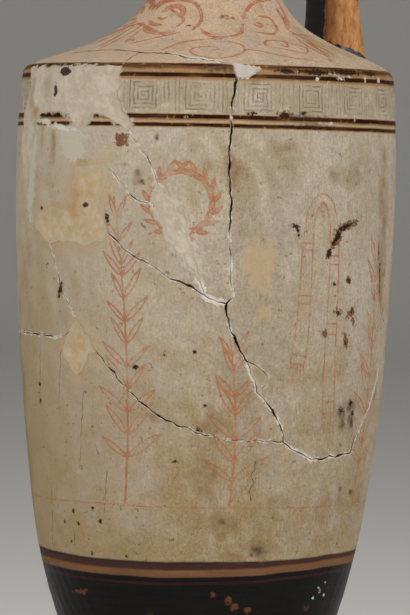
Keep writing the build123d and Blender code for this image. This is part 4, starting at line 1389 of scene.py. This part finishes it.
class Coating:
    """A finish in the making: its nodes, the place on the piece in millimetres and the colour so far."""

    def __init__(self, name: str, colour: str) -> None:
        """Starts a material of one colour.

        Args:
            name: the real material.
            colour: its ground colour as hex digits.
        """
        self.material = bpy.data.materials.new(name)
        self.material.use_nodes = True
        self.material.node_tree.nodes.clear()
        self.colour: Socket | str = colour
        place = self.add("TexCoord", out="Object")
        self.mm = self.add("VectorMath", place, {"Scale": 1 / METRES}, operation="SCALE")

    def add(self, kind: str, *feeds: Socket | float | str | dict, out: str = "",
            **settings) -> Socket | None:
        """Adds one shader node with its settings and links.

        Args:
            kind: the node's type without its prefix.
            feeds: for each input in turn a socket that is linked, or a value; hex digits become a
                colour, and a dict gives inputs by number or name.
            out: the name of the output that is wanted, the first live one if none is given.
            settings: the node's own properties.

        Returns:
            The output, if the node has one.
        """
        tree = self.material.node_tree
        node = tree.nodes.new("ShaderNode" + kind)
        for key, value in settings.items():
            setattr(node, key, value)
        pairs = [feed if isinstance(feed, dict) else {i: feed} for i, feed in enumerate(feeds)]
        for key, value in (pair for one in pairs for pair in one.items()):
            if isinstance(value, Socket):
                tree.links.new(value, node.inputs[key])
            else:
                node.inputs[key].default_value = linear(value) if isinstance(value, str) else value
        return node.outputs[out] if out else next((one for one in node.outputs if one.enabled), None)

    def patchy(self, scale: float, detail: float, rough: float, low: float = 0.0, high: float = 1.0,
               least: float = 0.0, most: float = 1.0, stretch: tuple | None = None) -> Socket:
        """A noise, spread so that it goes from least to most between two of its levels.

        Args:
            scale: patches for each millimetre.
            detail: how many finer noises are added.
            rough: how strong they are.
            low: the level that becomes least.
            high: the level that becomes most.
            least: the first value.
            most: the last value.
            stretch: the scale along each axis, for patches that run one way.

        Returns:
            The spread noise.
        """
        place = self.add("Mapping", self.mm, {"Scale": stretch}) if stretch else self.mm
        noise = self.add("TexNoise", {"Vector": place, "Scale": scale, "Detail": detail, "Roughness": rough})
        return self.add("MapRange", noise, low, high, least, most)

    def banded(self, value: Socket, low: float, high: float, stops: list[tuple]) -> Socket:
        """Colours that follow a value.

        Args:
            value: what they follow.
            low: the value where the ramp starts.
            high: the value where it ends.
            stops: (value, colour) in rising order, a colour as hex digits or linear RGBA.

        Returns:
            The colour.
        """
        share = self.add("MapRange", value, low, high)
        colour = self.add("ValToRGB", share)
        steps = colour.node.color_ramp.elements
        steps.remove(steps[1])
        paints = [linear(paint) if isinstance(paint, str) else paint for _, paint in stops]
        places = [(at - low) / (high - low) for at, _ in stops]
        steps[0].position, steps[0].color = places[0], paints[0]
        for place, paint in zip(places[1:], paints[1:]):
            steps.new(place).color = paint
        return colour

    def lay(self, paint: Socket | str, *masks: Socket | float) -> Socket:
        """Lays a paint over the colour so far.

        Args:
            paint: its colour.
            masks: how densely it covers; they are multiplied.

        Returns:
            The whole mask.
        """
        whole = masks[0]
        for mask in masks[1:]:
            whole = self.add("Math", whole, mask, operation="MULTIPLY")
        self.colour = self.add("Mix", {0: whole, 6: self.colour, 7: paint}, data_type="RGBA")
        return whole

    def blotted(self, name: str, paint: str, share: Socket | float) -> None:
        """Lays a paint where an attribute says, thinned to a share."""
        self.lay(paint, self.add("Attribute", out="Fac", attribute_name=name), share)

    def ragged(self, name: str, paint: str, scale: float, rag: float, soft: float, most: float,
               grow: float = 0.0) -> Socket:
        """Lays a paint inside an attribute's marks, with their edge made ragged by a noise.

        Args:
            name: the attribute, in millimetres inside a mark.
            paint: its colour.
            scale: patches of the noise for each millimetre.
            rag: how far the noise moves the edge.
            soft: half the width over which the edge fades.
            most: how densely it covers.
            grow: how far it goes beyond the mark.

        Returns:
            Its mask.
        """
        inside = self.add("Attribute", out="Fac", attribute_name=name)
        shift = self.patchy(scale, 4, 0.65, 0, 1, -rag, rag)
        inside = self.add("Math", inside, shift, operation="ADD")
        return self.lay(paint, self.add("MapRange", inside, -soft - grow, soft - grow, 0, most))

    def close(self, height: Socket, strength: Socket | float, depth: float, shine: dict) -> Material:
        """Ends the finish with its bump and its shader.

        Args:
            height: the bump's pattern.
            strength: how much of it shows.
            depth: its depth in metres.
            shine: the shader's other inputs.

        Returns:
            The material.
        """
        bump = self.add("Bump", {"Strength": strength, "Distance": depth, "Height": height})
        shader = self.add("BsdfPrincipled", {"Base Color": self.colour, "Normal": bump, **shine})
        self.add("OutputMaterial", shader)
        return self.material


@dataclass(frozen=True)
class PaintedGround:
    """Fired kaolin slip over an Attic clay body, brushed on and worn: matt, cream, stained, with
    wheel-run lines, a brushed meander and scrolls, and black gloss below the picture zone.

    Heights are counted from the arris. The meander has key_units keys round the wall, one of them at
    key_azimuth; its band is key_half to either side of key_middle, and its lines are key_pitch apart.
    """

    cream: str = "#AC9E89"
    pale: str = "#B7AA96"
    brown: str = "#947B53"
    shoulder: str = "#BEA388"
    golden: str = "#876539"
    key_grey: str = "#6C6153"
    key_tan: str = "#98886B"
    scroll_red: str = "#9A4B28"
    drawing_red: str = "#A05C36"
    gloss_black: str = "#161514"
    orange: str = "#714B2D"
    stripe: str = "#3A1D14"
    arris_height: float = 247.0
    key_units: int = 21
    key_radius: float = 61.6
    key_azimuth: float = 35.0
    key_middle: float = -9.1
    key_half: float = 5.3
    key_pitch: float = 1.36

    def make(self) -> Material:
        """Builds the finish.

        Returns:
            The material with its nodes.
        """
        coat = Coating("white_ground_slip", self.cream)
        height = coat.add("SeparateXYZ", coat.mm, out="Z")
        above = coat.add("Math", height, -self.arris_height, operation="ADD")
        self.ground(coat, above)
        self.meander(coat, above)
        self.painting(coat)
        gloss = self.lines(coat, above)
        gloss = coat.add("Math", gloss, self.wear(coat), operation="MAXIMUM")
        fine = coat.patchy(0.8, 6, 0.68)
        strength, rough, level = (coat.add("MapRange", gloss, 0, 1, matt, shiny)
                                  for matt, shiny in ((0.75, 0.2), (0.8, 0.4), (0.4, 0.07)))
        shine = {"Roughness": rough, "IOR": 1.45, "Specular IOR Level": level}
        return coat.close(fine, strength, 0.0004, shine)

    def ground(self, coat: Coating, above: Socket) -> None:
        """The slip's own colour: clouds, brown patches that grow lower down, speckle and tiny pits.

        Args:
            coat: the finish.
            above: the height above the arris.
        """
        add = coat.add
        coat.lay(self.pale, coat.patchy(0.03, 5, 0.6, 0.36, 0.64))
        coat.lay(self.shoulder, add("MapRange", above, -1, 3))
        low = add("MapRange", above, -50, -160, 0, 0.8)
        side = add("VectorMath", coat.mm, ACROSS_VIEW, operation="DOT_PRODUCT")
        soil = add("MapRange", side, -45, 5, 0.35, 1)
        blot = add("Mix", {0: soil, 2: 0.62, 3: coat.patchy(0.07, 6, 0.66, 0.44, 0.64)})
        share = add("Math", blot, 0.34, 0.56, operation="MULTIPLY_ADD")
        low = add("Math", low, share, operation="MULTIPLY")
        both = add("Math", blot, 0.34, low, operation="MULTIPLY_ADD", use_clamp=True)
        coat.lay(self.brown, both)
        coat.lay("#A3968A", coat.patchy(0.12, 6, 0.7, 0.5, 0.66, 0, 0.5))
        coat.blotted("tone", "#957F55", 0.55)
        coat.blotted("film", "#857660", 0.34)
        level = coat.patchy(0.3, 5, 0.7, 0.3, 0.7, 0.88, 1.09)
        for speckle in (coat.patchy(1.3, 3, 0.7, 0.3, 0.7, 0.77, 1.17),
                        coat.patchy(1, 3, 0.6, 0.3, 0.7, 0.86, 1.1, (1.6, 1.6, 0.35))):
            level = add("Math", level, speckle, operation="MULTIPLY")
        level = add("Mix", {0: soil, 2: 1, 3: level})
        coat.colour = add("VectorMath", coat.colour, {"Scale": level}, operation="SCALE")
        coat.lay("#54402C", coat.patchy(0.62, 2, 0.5, 0.67, 0.73, 0, 0.6))

    def meander(self, coat: Coating, above: Socket) -> None:
        """The running key under the shoulder: square spirals parted by upright bars, faint and rubbed.

        A square spiral is where the larger of |across| and |along|, over the pitch, plus a quarter for
        each side in turn, comes near a whole number. sums has a name, what is done and to what.

        Args:
            coat: the finish.
            above: the height above the arris.
        """
        add, half = coat.add, self.key_half
        width = 2 * math.pi * self.key_radius / self.key_units
        start = 0.5 - self.key_azimuth * self.key_units / 360
        sums = (
            ("back", "MULTIPLY", "Y", -1),
            ("turn", "ARCTAN2", "X", "back"),
            ("key", "MULTIPLY_ADD", "turn", self.key_units / (2 * math.pi), start),
            ("part", "FRACT", "key"),
            ("across", "MULTIPLY_ADD", "part", width, -0.5 * width),
            ("across", "ADD", "across", "wobble"),
            ("along", "ADD", "above", -self.key_middle),
            ("along", "ADD", "along", "wobble"),
            ("far_across", "ABSOLUTE", "across"),
            ("far_along", "ABSOLUTE", "along"),
            ("reach", "MAXIMUM", "far_across", "far_along"),
            ("sideways", "GREATER_THAN", "far_across", "far_along"),
            ("left", "LESS_THAN", "across", 0),
            ("lower", "LESS_THAN", "along", 0),
            ("flank", "MULTIPLY", "left", 0.5),
            ("ends", "MULTIPLY_ADD", "lower", 0.5, 0.25),
            ("change", "SUBTRACT", "flank", "ends"),
            ("quarter", "MULTIPLY_ADD", "sideways", "change", "ends"),
            ("ring", "MULTIPLY_ADD", "reach", 1 / self.key_pitch, "quarter"),
            ("ring", "PINGPONG", "ring", 0.5),
            ("bar", "MULTIPLY", "far_across", 1 / self.key_pitch),
            ("bar", "PINGPONG", "bar", 0.5),
        )
        found = {axis: add("SeparateXYZ", coat.mm, out=axis) for axis in "XY"}
        found.update(above=above, wobble=coat.patchy(0.25, 2, 0.5, 0.3, 0.7, -0.25, 0.25))
        for name, operation, *feeds in sums:
            found[name] = add("Math", *(found.get(feed, feed) for feed in feeds), operation=operation)
        line = add("MapRange", found["ring"], 0.26, 0.12)
        inside = add("MapRange", found["reach"], half + 0.1, half - 0.1)
        line = add("Math", line, inside, operation="MULTIPLY")
        bar = add("MapRange", found["bar"], 0.26, 0.12, 0, 0.7)
        for way, low, high in (("far_across", 0.1, 0.3), ("far_along", 0.2, 0)):
            within = add("MapRange", found[way], half + low, half + high)
            bar = add("Math", bar, within, operation="MULTIPLY")
        line = add("Math", line, bar, operation="MAXIMUM")
        band = add("MapRange", found["far_along"], 6.4, 5.2)
        coat.lay("#C3BBAD", coat.patchy(0.2, 6, 0.72, 0.42, 0.34, 0, 0.55), band)
        coat.lay(self.key_tan, band, coat.patchy(0.2, 6, 0.72, 0.4, 0.66, 0.12, 0.85))
        coat.lay(self.key_grey, line, coat.patchy(0.17, 6, 0.72, 0.4, 0.62, 0.06, 0.95))

    def painting(self, coat: Coating) -> None:
        """Brushed lines of the shoulder and the picture, denser along their edges and worn by a noise.

        Args:
            coat: the finish.
        """
        families = (("scroll_mm", self.scroll_red, 0.45, 0.95), ("drawing_mm", self.drawing_red, 0.22, 0.85))
        for name, paint, scale, most in families:
            inside = coat.add("Attribute", out="Fac", attribute_name=name)
            rag = coat.patchy(1.4, 2, 0.5, 0.3, 0.7, -0.1, 0.1)
            inside = coat.add("Math", inside, rag, operation="ADD")
            mask = coat.add("MapRange", inside, -0.16, 0.16, interpolation_type="SMOOTHSTEP")
            worn = coat.patchy(scale, 4, 0.65, 0.34, 0.56, 0.3, most)
            coat.lay(paint, mask, worn, coat.add("MapRange", inside, 0.22, 0.6, 1, 0.6))

    def lines(self, coat: Coating, above: Socket) -> Socket:
        """Wheel-run lines by height, golden where the slip is thin and near black where it is thick.

        Args:
            coat: the finish.
            above: the height above the arris.

        Returns:
            Where the paint has a sheen.
        """
        add = coat.add
        sway = coat.patchy(0.16, 4, 0.65, 0, 1, -0.22, 0.22)
        height = add("Math", above, sway, operation="ADD")
        thick_at = (
            (-19.65, 0), (-19.35, 0.2), (-19.1, 0.45), (-18.9, 1), (-18.2, 1), (-18.0, 0.45), (-17.8, 0.16),
            (-17.45, 0.1), (-17.1, 0.2), (-16.8, 0.34), (-16.5, 0.6), (-16.25, 1), (-15.4, 1), (-15.2, 0.4),
            (-14.85, 0), (-5.0, 0), (-4.4, 0.12), (-3.7, 0.28), (-3.4, 0.5), (-3.2, 0.9), (-3.0, 1),
            (-2.3, 1), (-2.1, 0.6), (-1.9, 0.26), (-1.1, 0.26), (-0.7, 0.4), (-0.3, 0.58), (0.2, 0.7),
            (0.75, 0.72), (0.95, 0.45), (1.15, 0.0),
        )
        thick = coat.banded(height, -20, 2.5, [(at, (much, much, much, 1)) for at, much in thick_at])
        run = coat.patchy(1, 4, 0.6, 0.3, 0.62, 0.6, 1.05, (0.06, 0.06, 0.7))
        for thinned in (run, coat.patchy(0.45, 4, 0.7, 0.6, 0.7, 1, 0.35)):
            thick = add("Math", thick, thinned, operation="MULTIPLY")
        tones = [(0.0, "#AE9268"), (0.15, "#9A7B57"), (0.3, self.golden), (0.48, "#6A431F"),
                 (0.66, "#3A1C08"), (1.0, "#220D04")]
        cover = add("MapRange", thick, 0.02, 0.18)
        coat.lay(coat.banded(thick, 0, 1, tones), cover)
        side = add("VectorMath", coat.mm, ACROSS_VIEW, operation="DOT_PRODUCT")
        rises = ((-60, 0.3, 0.4), (-46, 0.0, -0.3), (-34, -0.4, -0.9), (-10, -0.5, -0.9), (2, 0.0, -0.4),
                 (20, 0.6, -0.3), (28, 1.4, 0.0), (36, 1.8, 0.3), (42, 2.4, 0.9), (60, 2.4, 0.9))
        stops = [(at, (0.5 - low / 6, 0.5 - top / 6, 0.0, 1.0)) for at, low, top in rises]
        rise = coat.banded(side, -60, 60, stops)
        parts = [add("SeparateColor", rise, out=name) for name in ("Red", "Green")]
        parts = [add("MapRange", part, 0, 1, -3, 3) for part in parts]
        lower, upper = (add("Math", height, part, operation="ADD") for part in parts)
        black = self.gloss_black
        bands = [(-170.0, black), (-165.4, black), (-164.9, "#341A1F"), (-164.5, "#341A1F"), (-164.1, black),
                 (-162.9, black), (-162.4, self.orange), (-160.6, self.orange), (-160.2, "#4A2C1C"),
                 (-159.9, self.stripe), (-158.6, self.stripe), (-158.2, "#2A160C"), (-157.8, "#2A160C"),
                 (-157.2, "#5A4028")]
        zone = coat.banded(lower, -170, -155, bands)
        streak = add("MapRange", run, 0.6, 1.05, 1.25, 0.85)
        zone = add("VectorMath", zone, {"Scale": streak}, operation="SCALE")
        coat.lay(zone, add("MapRange", upper, -156.8, -157.4))
        dense = add("MapRange", thick, 0.45, 0.75)
        below = add("MapRange", lower, -162.4, -162.9)
        return add("Math", below, dense, operation="MAXIMUM")

    def wear(self, coat: Coating) -> Socket:
        """Stains, the restorer's coats along the breaks, chips, flakes and hairlines, ragged by noise, and
        painted shade: a strip down the left edge and a darker rim round the pale coats.

        Args:
            coat: the finish.

        Returns:
            Where dark flakes of gloss lie.
        """
        add = coat.add
        # Real stains, and one painted shade: a long brown strip down the left edge as the camera sees it.
        coat.blotted("stain_and_shade", "#7A5C36", coat.patchy(0.2, 5, 0.7, 0.35, 0.65, 0.2, 0.85))
        coat.blotted("smudge", "#33200F", coat.patchy(0.7, 5, 0.7, 0.35, 0.62, 0.3, 0.95))
        rubbed = add("Attribute", out="Fac", attribute_name="rubbed")
        coat.lay("#8A7452", add("MapRange", rubbed, 0.1, 1, 0, 0.5))
        coat.ragged("ochre_mm", "#B09872", 0.3, 6.0, 1.5, 0.7)
        # Painted shade: a thin darker rim just outside the pale coats, along the edge of the raised filler.
        coat.ragged("pale_mm", "#85755A", 0.35, 4.0, 0.3, 0.2, grow=0.35)
        coat.ragged("pale_mm", "#B9B19E", 0.35, 4.0, 0.5, 0.8)
        coat.ragged("white_mm", "#CAC3B7", 0.6, 1.6, 0.2, 0.9)
        coat.ragged("clay_mm", "#643C29", 0.7, 2.2, 0.3, 0.85)
        coat.ragged("rust_mm", "#683C10", 0.9, 3.4, 0.2, 0.92)
        coat.ragged("dark_mm", "#7A5A30", 0.7, 1.6, 0.5, 0.6)
        flakes = coat.ragged("dark_mm", "#1E0F08", 1.1, 1.6, 0.16, 0.95)
        side, near = (add("Attribute", out="Fac", attribute_name="hair_" + end) for end in ("side", "near"))
        side = add("Math", side, operation="ABSOLUTE")
        thin = coat.patchy(0.5, 3, 0.5, 0.35, 0.65, 0.06, 0.26)
        line = add("MapRange", side, thin, 0, 0, 0.95)
        coat.lay("#33271B", line, add("MapRange", near, 0.5, 0.7))
        return flakes


@dataclass(frozen=True)
class Plaster:
    """Restorer's plaster, filed and toned with a wash: dead matt, mottled, feathered over its edges."""

    name: str
    body: str
    tone: str
    rub: str
    rim: str = "#AD9F89"
    feather: float = 1.4

    def make(self) -> Material:
        """Builds the finish.

        Returns:
            The material with its nodes.
        """
        coat = Coating(self.name, self.body)
        coat.lay(self.tone, coat.patchy(0.1, 6, 0.68, 0.36, 0.64))
        speck = coat.patchy(0.3, 6, 0.72)
        coat.lay(self.rub, coat.add("MapRange", speck, 0.42, 0.68, 0, 0.8))
        coat.blotted("stain_and_shade", "#A97236", coat.patchy(0.1, 6, 0.68, 0.36, 0.6, 0.2, 0.95))
        coat.blotted("film", "#7F6E54", 0.5)
        edge = coat.add("Attribute", out="Fac", attribute_name="edge_mm")
        shift = coat.add("MapRange", speck, 0, 1, -2.6, 2.6)
        edge = coat.add("Math", edge, shift, operation="ADD")
        coat.lay(self.rim, coat.add("MapRange", edge, self.feather, 0, 0, 0.8))
        coat.ragged("dark_mm", "#231006", 0.8, 1.3, 0.15, 0.95)
        return coat.close(speck, 0.7, 0.0006, {"Roughness": 0.9, "IOR": 1.4})


@dataclass(frozen=True)
class FiredClay:
    """Attic clay as a broken edge or an unslipped inner face shows it: orange-brown, fine and matt."""

    light: str = "#A8724B"
    dark: str = "#7A4C30"

    def make(self) -> Material:
        """Builds the finish.

        Returns:
            The material with its nodes.
        """
        coat = Coating("fired_clay", self.dark)
        grain = coat.patchy(0.4, 6, 0.7)
        coat.lay(self.light, grain)
        return coat.close(grain, 0.5, 0.0003, {"Roughness": 0.85, "IOR": 1.45})


@dataclass(frozen=True)
class BlackGloss:
    """Black gloss slip, levigated clay fired in reduction: a dark even sheen that thins to brown where
    it was brushed thinly and is scuffed to the orange clay. A reserved strap is bare on one side."""

    name: str
    reserved: bool = False
    black: str = "#141210"
    thin: str = "#2E2018"
    clay: str = "#C08850"
    clay_dark: str = "#7E4A22"

    def make(self) -> Material:
        """Builds the finish.

        Returns:
            The material with its nodes.
        """
        coat = Coating(self.name, self.black)
        coat.lay(self.thin, coat.patchy(1, 5, 0.6, 0.45, 0.7, stretch=(0.05, 0.05, 0.4)))
        scuff = coat.patchy(0.28, 6, 0.72)
        bare = coat.add("MapRange", scuff, 0.68, 0.72)
        if self.reserved:
            side = coat.add("Attribute", out="Fac", attribute_name="bare_mm")
            rag = coat.add("MapRange", scuff, 0.3, 0.7, -1, 1)
            side = coat.add("Math", side, rag, operation="ADD")
            side = coat.add("MapRange", side, -0.2, 0.2)
            bare = coat.add("Math", bare, side, operation="MAXIMUM")
        grain = coat.patchy(1, 6, 0.72, 0.36, 0.66, stretch=(0.4, 0.4, 0.16))
        coat.lay(coat.add("Mix", {0: grain, 6: self.clay, 7: self.clay_dark}, data_type="RGBA"), bare)
        rough = coat.add("MapRange", bare, 0, 1, 0.34, 0.8)
        return coat.close(scuff, 0.25, 0.0003, {"Roughness": rough, "IOR": 1.5})


@dataclass
class Studio:
    """Pale floor, soft light and the camera at the photograph's place.

    Lengths are metres and angles degrees. boxes lists the lamps: name, turn from the camera's azimuth,
    height, distance from the axis, side and watts.
    """

    distance: float = 1.370
    height: float = 0.2096
    azimuth: float = 54.0
    focal_px: float = 4138.0
    picture_height_px: float = 615.0
    pitch: float = 1.696
    yaw_px: float = 1.95
    roll: float = 1.237
    sensor_mm: float = 36.0
    aim_height: float = 0.2
    floor_radius: float = 3.9
    sweep_radius: float = 1.3
    wall_height: float = 4.0
    paper: str = "#E2E0DB"
    sky: str = "#D8D8D8"
    sky_strength: float = 0.35
    boxes: tuple = (
        ("left_box", -42, 0.85, 1.5, 0.7, 12.0),
        ("right_box", 54, 0.75, 1.5, 0.8, 12.0),
        ("top_box", 5, 1.9, 0.9, 1.0, 13.0),
    )

    def stand(self, name: str, data: bpy.types.ID, axes: Array, spot: Array) -> bpy.types.Object:
        """Puts a lamp or the camera into the scene.

        Args:
            name: the object's name.
            data: its lamp or lens.
            axes: its right, up and backward axes as columns.
            spot: its place.

        Returns:
            The new object.
        """
        thing = bpy.data.objects.new(name, data)
        matrix = np.eye(4)
        matrix[:3] = np.column_stack([axes, spot])
        thing.matrix_world = Matrix(matrix.tolist())
        bpy.context.scene.collection.objects.link(thing)
        return thing

    def camera(self) -> None:
        """Places the camera: its axes are pitched, yawed and rolled, then turned to its azimuth."""
        pitch, yaw, roll = math.radians(self.pitch), self.yaw_px / self.focal_px, math.radians(self.roll)
        view = np.array([math.sin(yaw) * math.cos(pitch), math.cos(yaw) * math.cos(pitch), -math.sin(pitch)])
        flat = np.array([math.cos(yaw), -math.sin(yaw), 0.0])
        upright = np.cross(flat, view)
        right = flat * math.cos(roll) + upright * math.sin(roll)
        up = -flat * math.sin(roll) + upright * math.cos(roll)
        turn = np.array(Matrix.Rotation(math.radians(self.azimuth), 3, "Z"))
        lens = bpy.data.cameras.new("camera")
        lens.sensor_width = self.sensor_mm
        lens.lens = self.focal_px / self.picture_height_px * self.sensor_mm
        lens.clip_start = 0.05
        lens.clip_end = 50.0
        axes = turn @ np.stack([right, up, -view], 1)
        spot = turn @ np.array([0.0, -self.distance, self.height])
        bpy.context.scene.camera = self.stand("camera", lens, axes, spot)

    def light(self) -> None:
        """Square soft boxes that look at the vessel's middle, and a dim even world."""
        for name, aside, height, reach, size, watts in self.boxes:
            data = bpy.data.lights.new(name, "AREA")
            data.size = size
            data.energy = watts
            turn = math.radians(self.azimuth + aside)
            spot = np.array([math.sin(turn) * reach, -math.cos(turn) * reach, height])
            away = spot - [0, 0, self.aim_height]
            away /= np.linalg.norm(away)
            across = np.cross([0, 0, 1.0], away)
            across /= np.linalg.norm(across)
            self.stand(name, data, np.stack([across, np.cross(away, across), away], 1), spot)
        world = bpy.data.worlds.new("studio")
        world.use_nodes = True
        back = world.node_tree.nodes["Background"]
        back.inputs[0].default_value = linear(self.sky)
        back.inputs[1].default_value = self.sky_strength
        bpy.context.scene.world = world

    def floor(self) -> None:
        """A pale floor that curves up far behind the vessel into a backdrop of the same colour."""
        flat, sweep = self.floor_radius, self.sweep_radius
        turn = np.radians(np.linspace(0, 360, 97))[:, None]
        bend = np.linspace(0.1, math.pi / 2, 12)
        run = np.concatenate([np.linspace(0, flat, 20), flat + sweep * np.sin(bend), [flat + sweep]])
        rise = np.concatenate([np.zeros(20), sweep - sweep * np.cos(bend), [self.wall_height]])
        grid = np.stack(np.broadcast_arrays(run * np.sin(turn), -run * np.cos(turn), rise), -1)
        index = np.arange(grid[..., 0].size).reshape(grid.shape[:2])
        mesh = bpy.data.meshes.new("floor")
        mesh.from_pydata(grid.reshape(-1, 3).tolist(), [], grid_faces(index.T).tolist())
        mesh.polygons.foreach_set("use_smooth", np.ones(len(mesh.polygons), bool))
        material = bpy.data.materials.new("pale_paper")
        material.use_nodes = True
        shader = material.node_tree.nodes["Principled BSDF"]
        shader.inputs["Base Color"].default_value = linear(self.paper)
        shader.inputs["Roughness"].default_value = 0.9
        mesh.materials.append(material)
        floor = bpy.data.objects.new("floor", mesh)
        bpy.context.scene.collection.objects.link(floor)

    def build(self) -> None:
        """Sets the whole stage."""
        bpy.context.scene.view_settings.view_transform = "Standard"
        self.floor()
        self.light()
        self.camera()


def main() -> None:
    """Builds the mended wall, the neck, the mouth and the handle, dresses the foot and sets the stage."""
    logging.basicConfig(level=logging.INFO, format="%(name)s: %(message)s")
    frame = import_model()
    wall = WallOutline()
    brush = Brushwork(wall)
    strokes = {"scroll": brush.scrolls(), "drawing": brush.picture(), "hairline": brush.hairlines()}
    plasters = (
        Plaster("pale_plaster", "#BAAC97", "#A79782", "#C6BBA9"),
        Plaster("ochre_plaster", "#B5A080", "#AC8F63", "#BEAF97", feather=2.4),
        Plaster("white_plaster", "#B5ABA2", "#A89D93", "#BDB5AE", feather=0.3),
        Plaster("toned_plaster", "#B09A79", "#9A825F", "#B8A88D"),
    )
    finishes = {"white_ground": PaintedGround().make(), "fired_clay": FiredClay().make()}
    finishes.update({plaster.name: plaster.make() for plaster in plasters})
    for fragment in FRAGMENTS:
        fragment.build(wall, strokes, finishes)
    gloss = BlackGloss("black_gloss_slip").make()
    NECK.build(wall, gloss)
    MOUTH.build(wall, gloss)
    StrapHandle().build(wall, BlackGloss("black_gloss_strap", reserved=True).make())
    foot = frame["nodes"]["foot"].data
    foot.materials.clear()
    foot.materials.append(gloss)
    Studio().build()


if __name__ == "__main__":
    main()
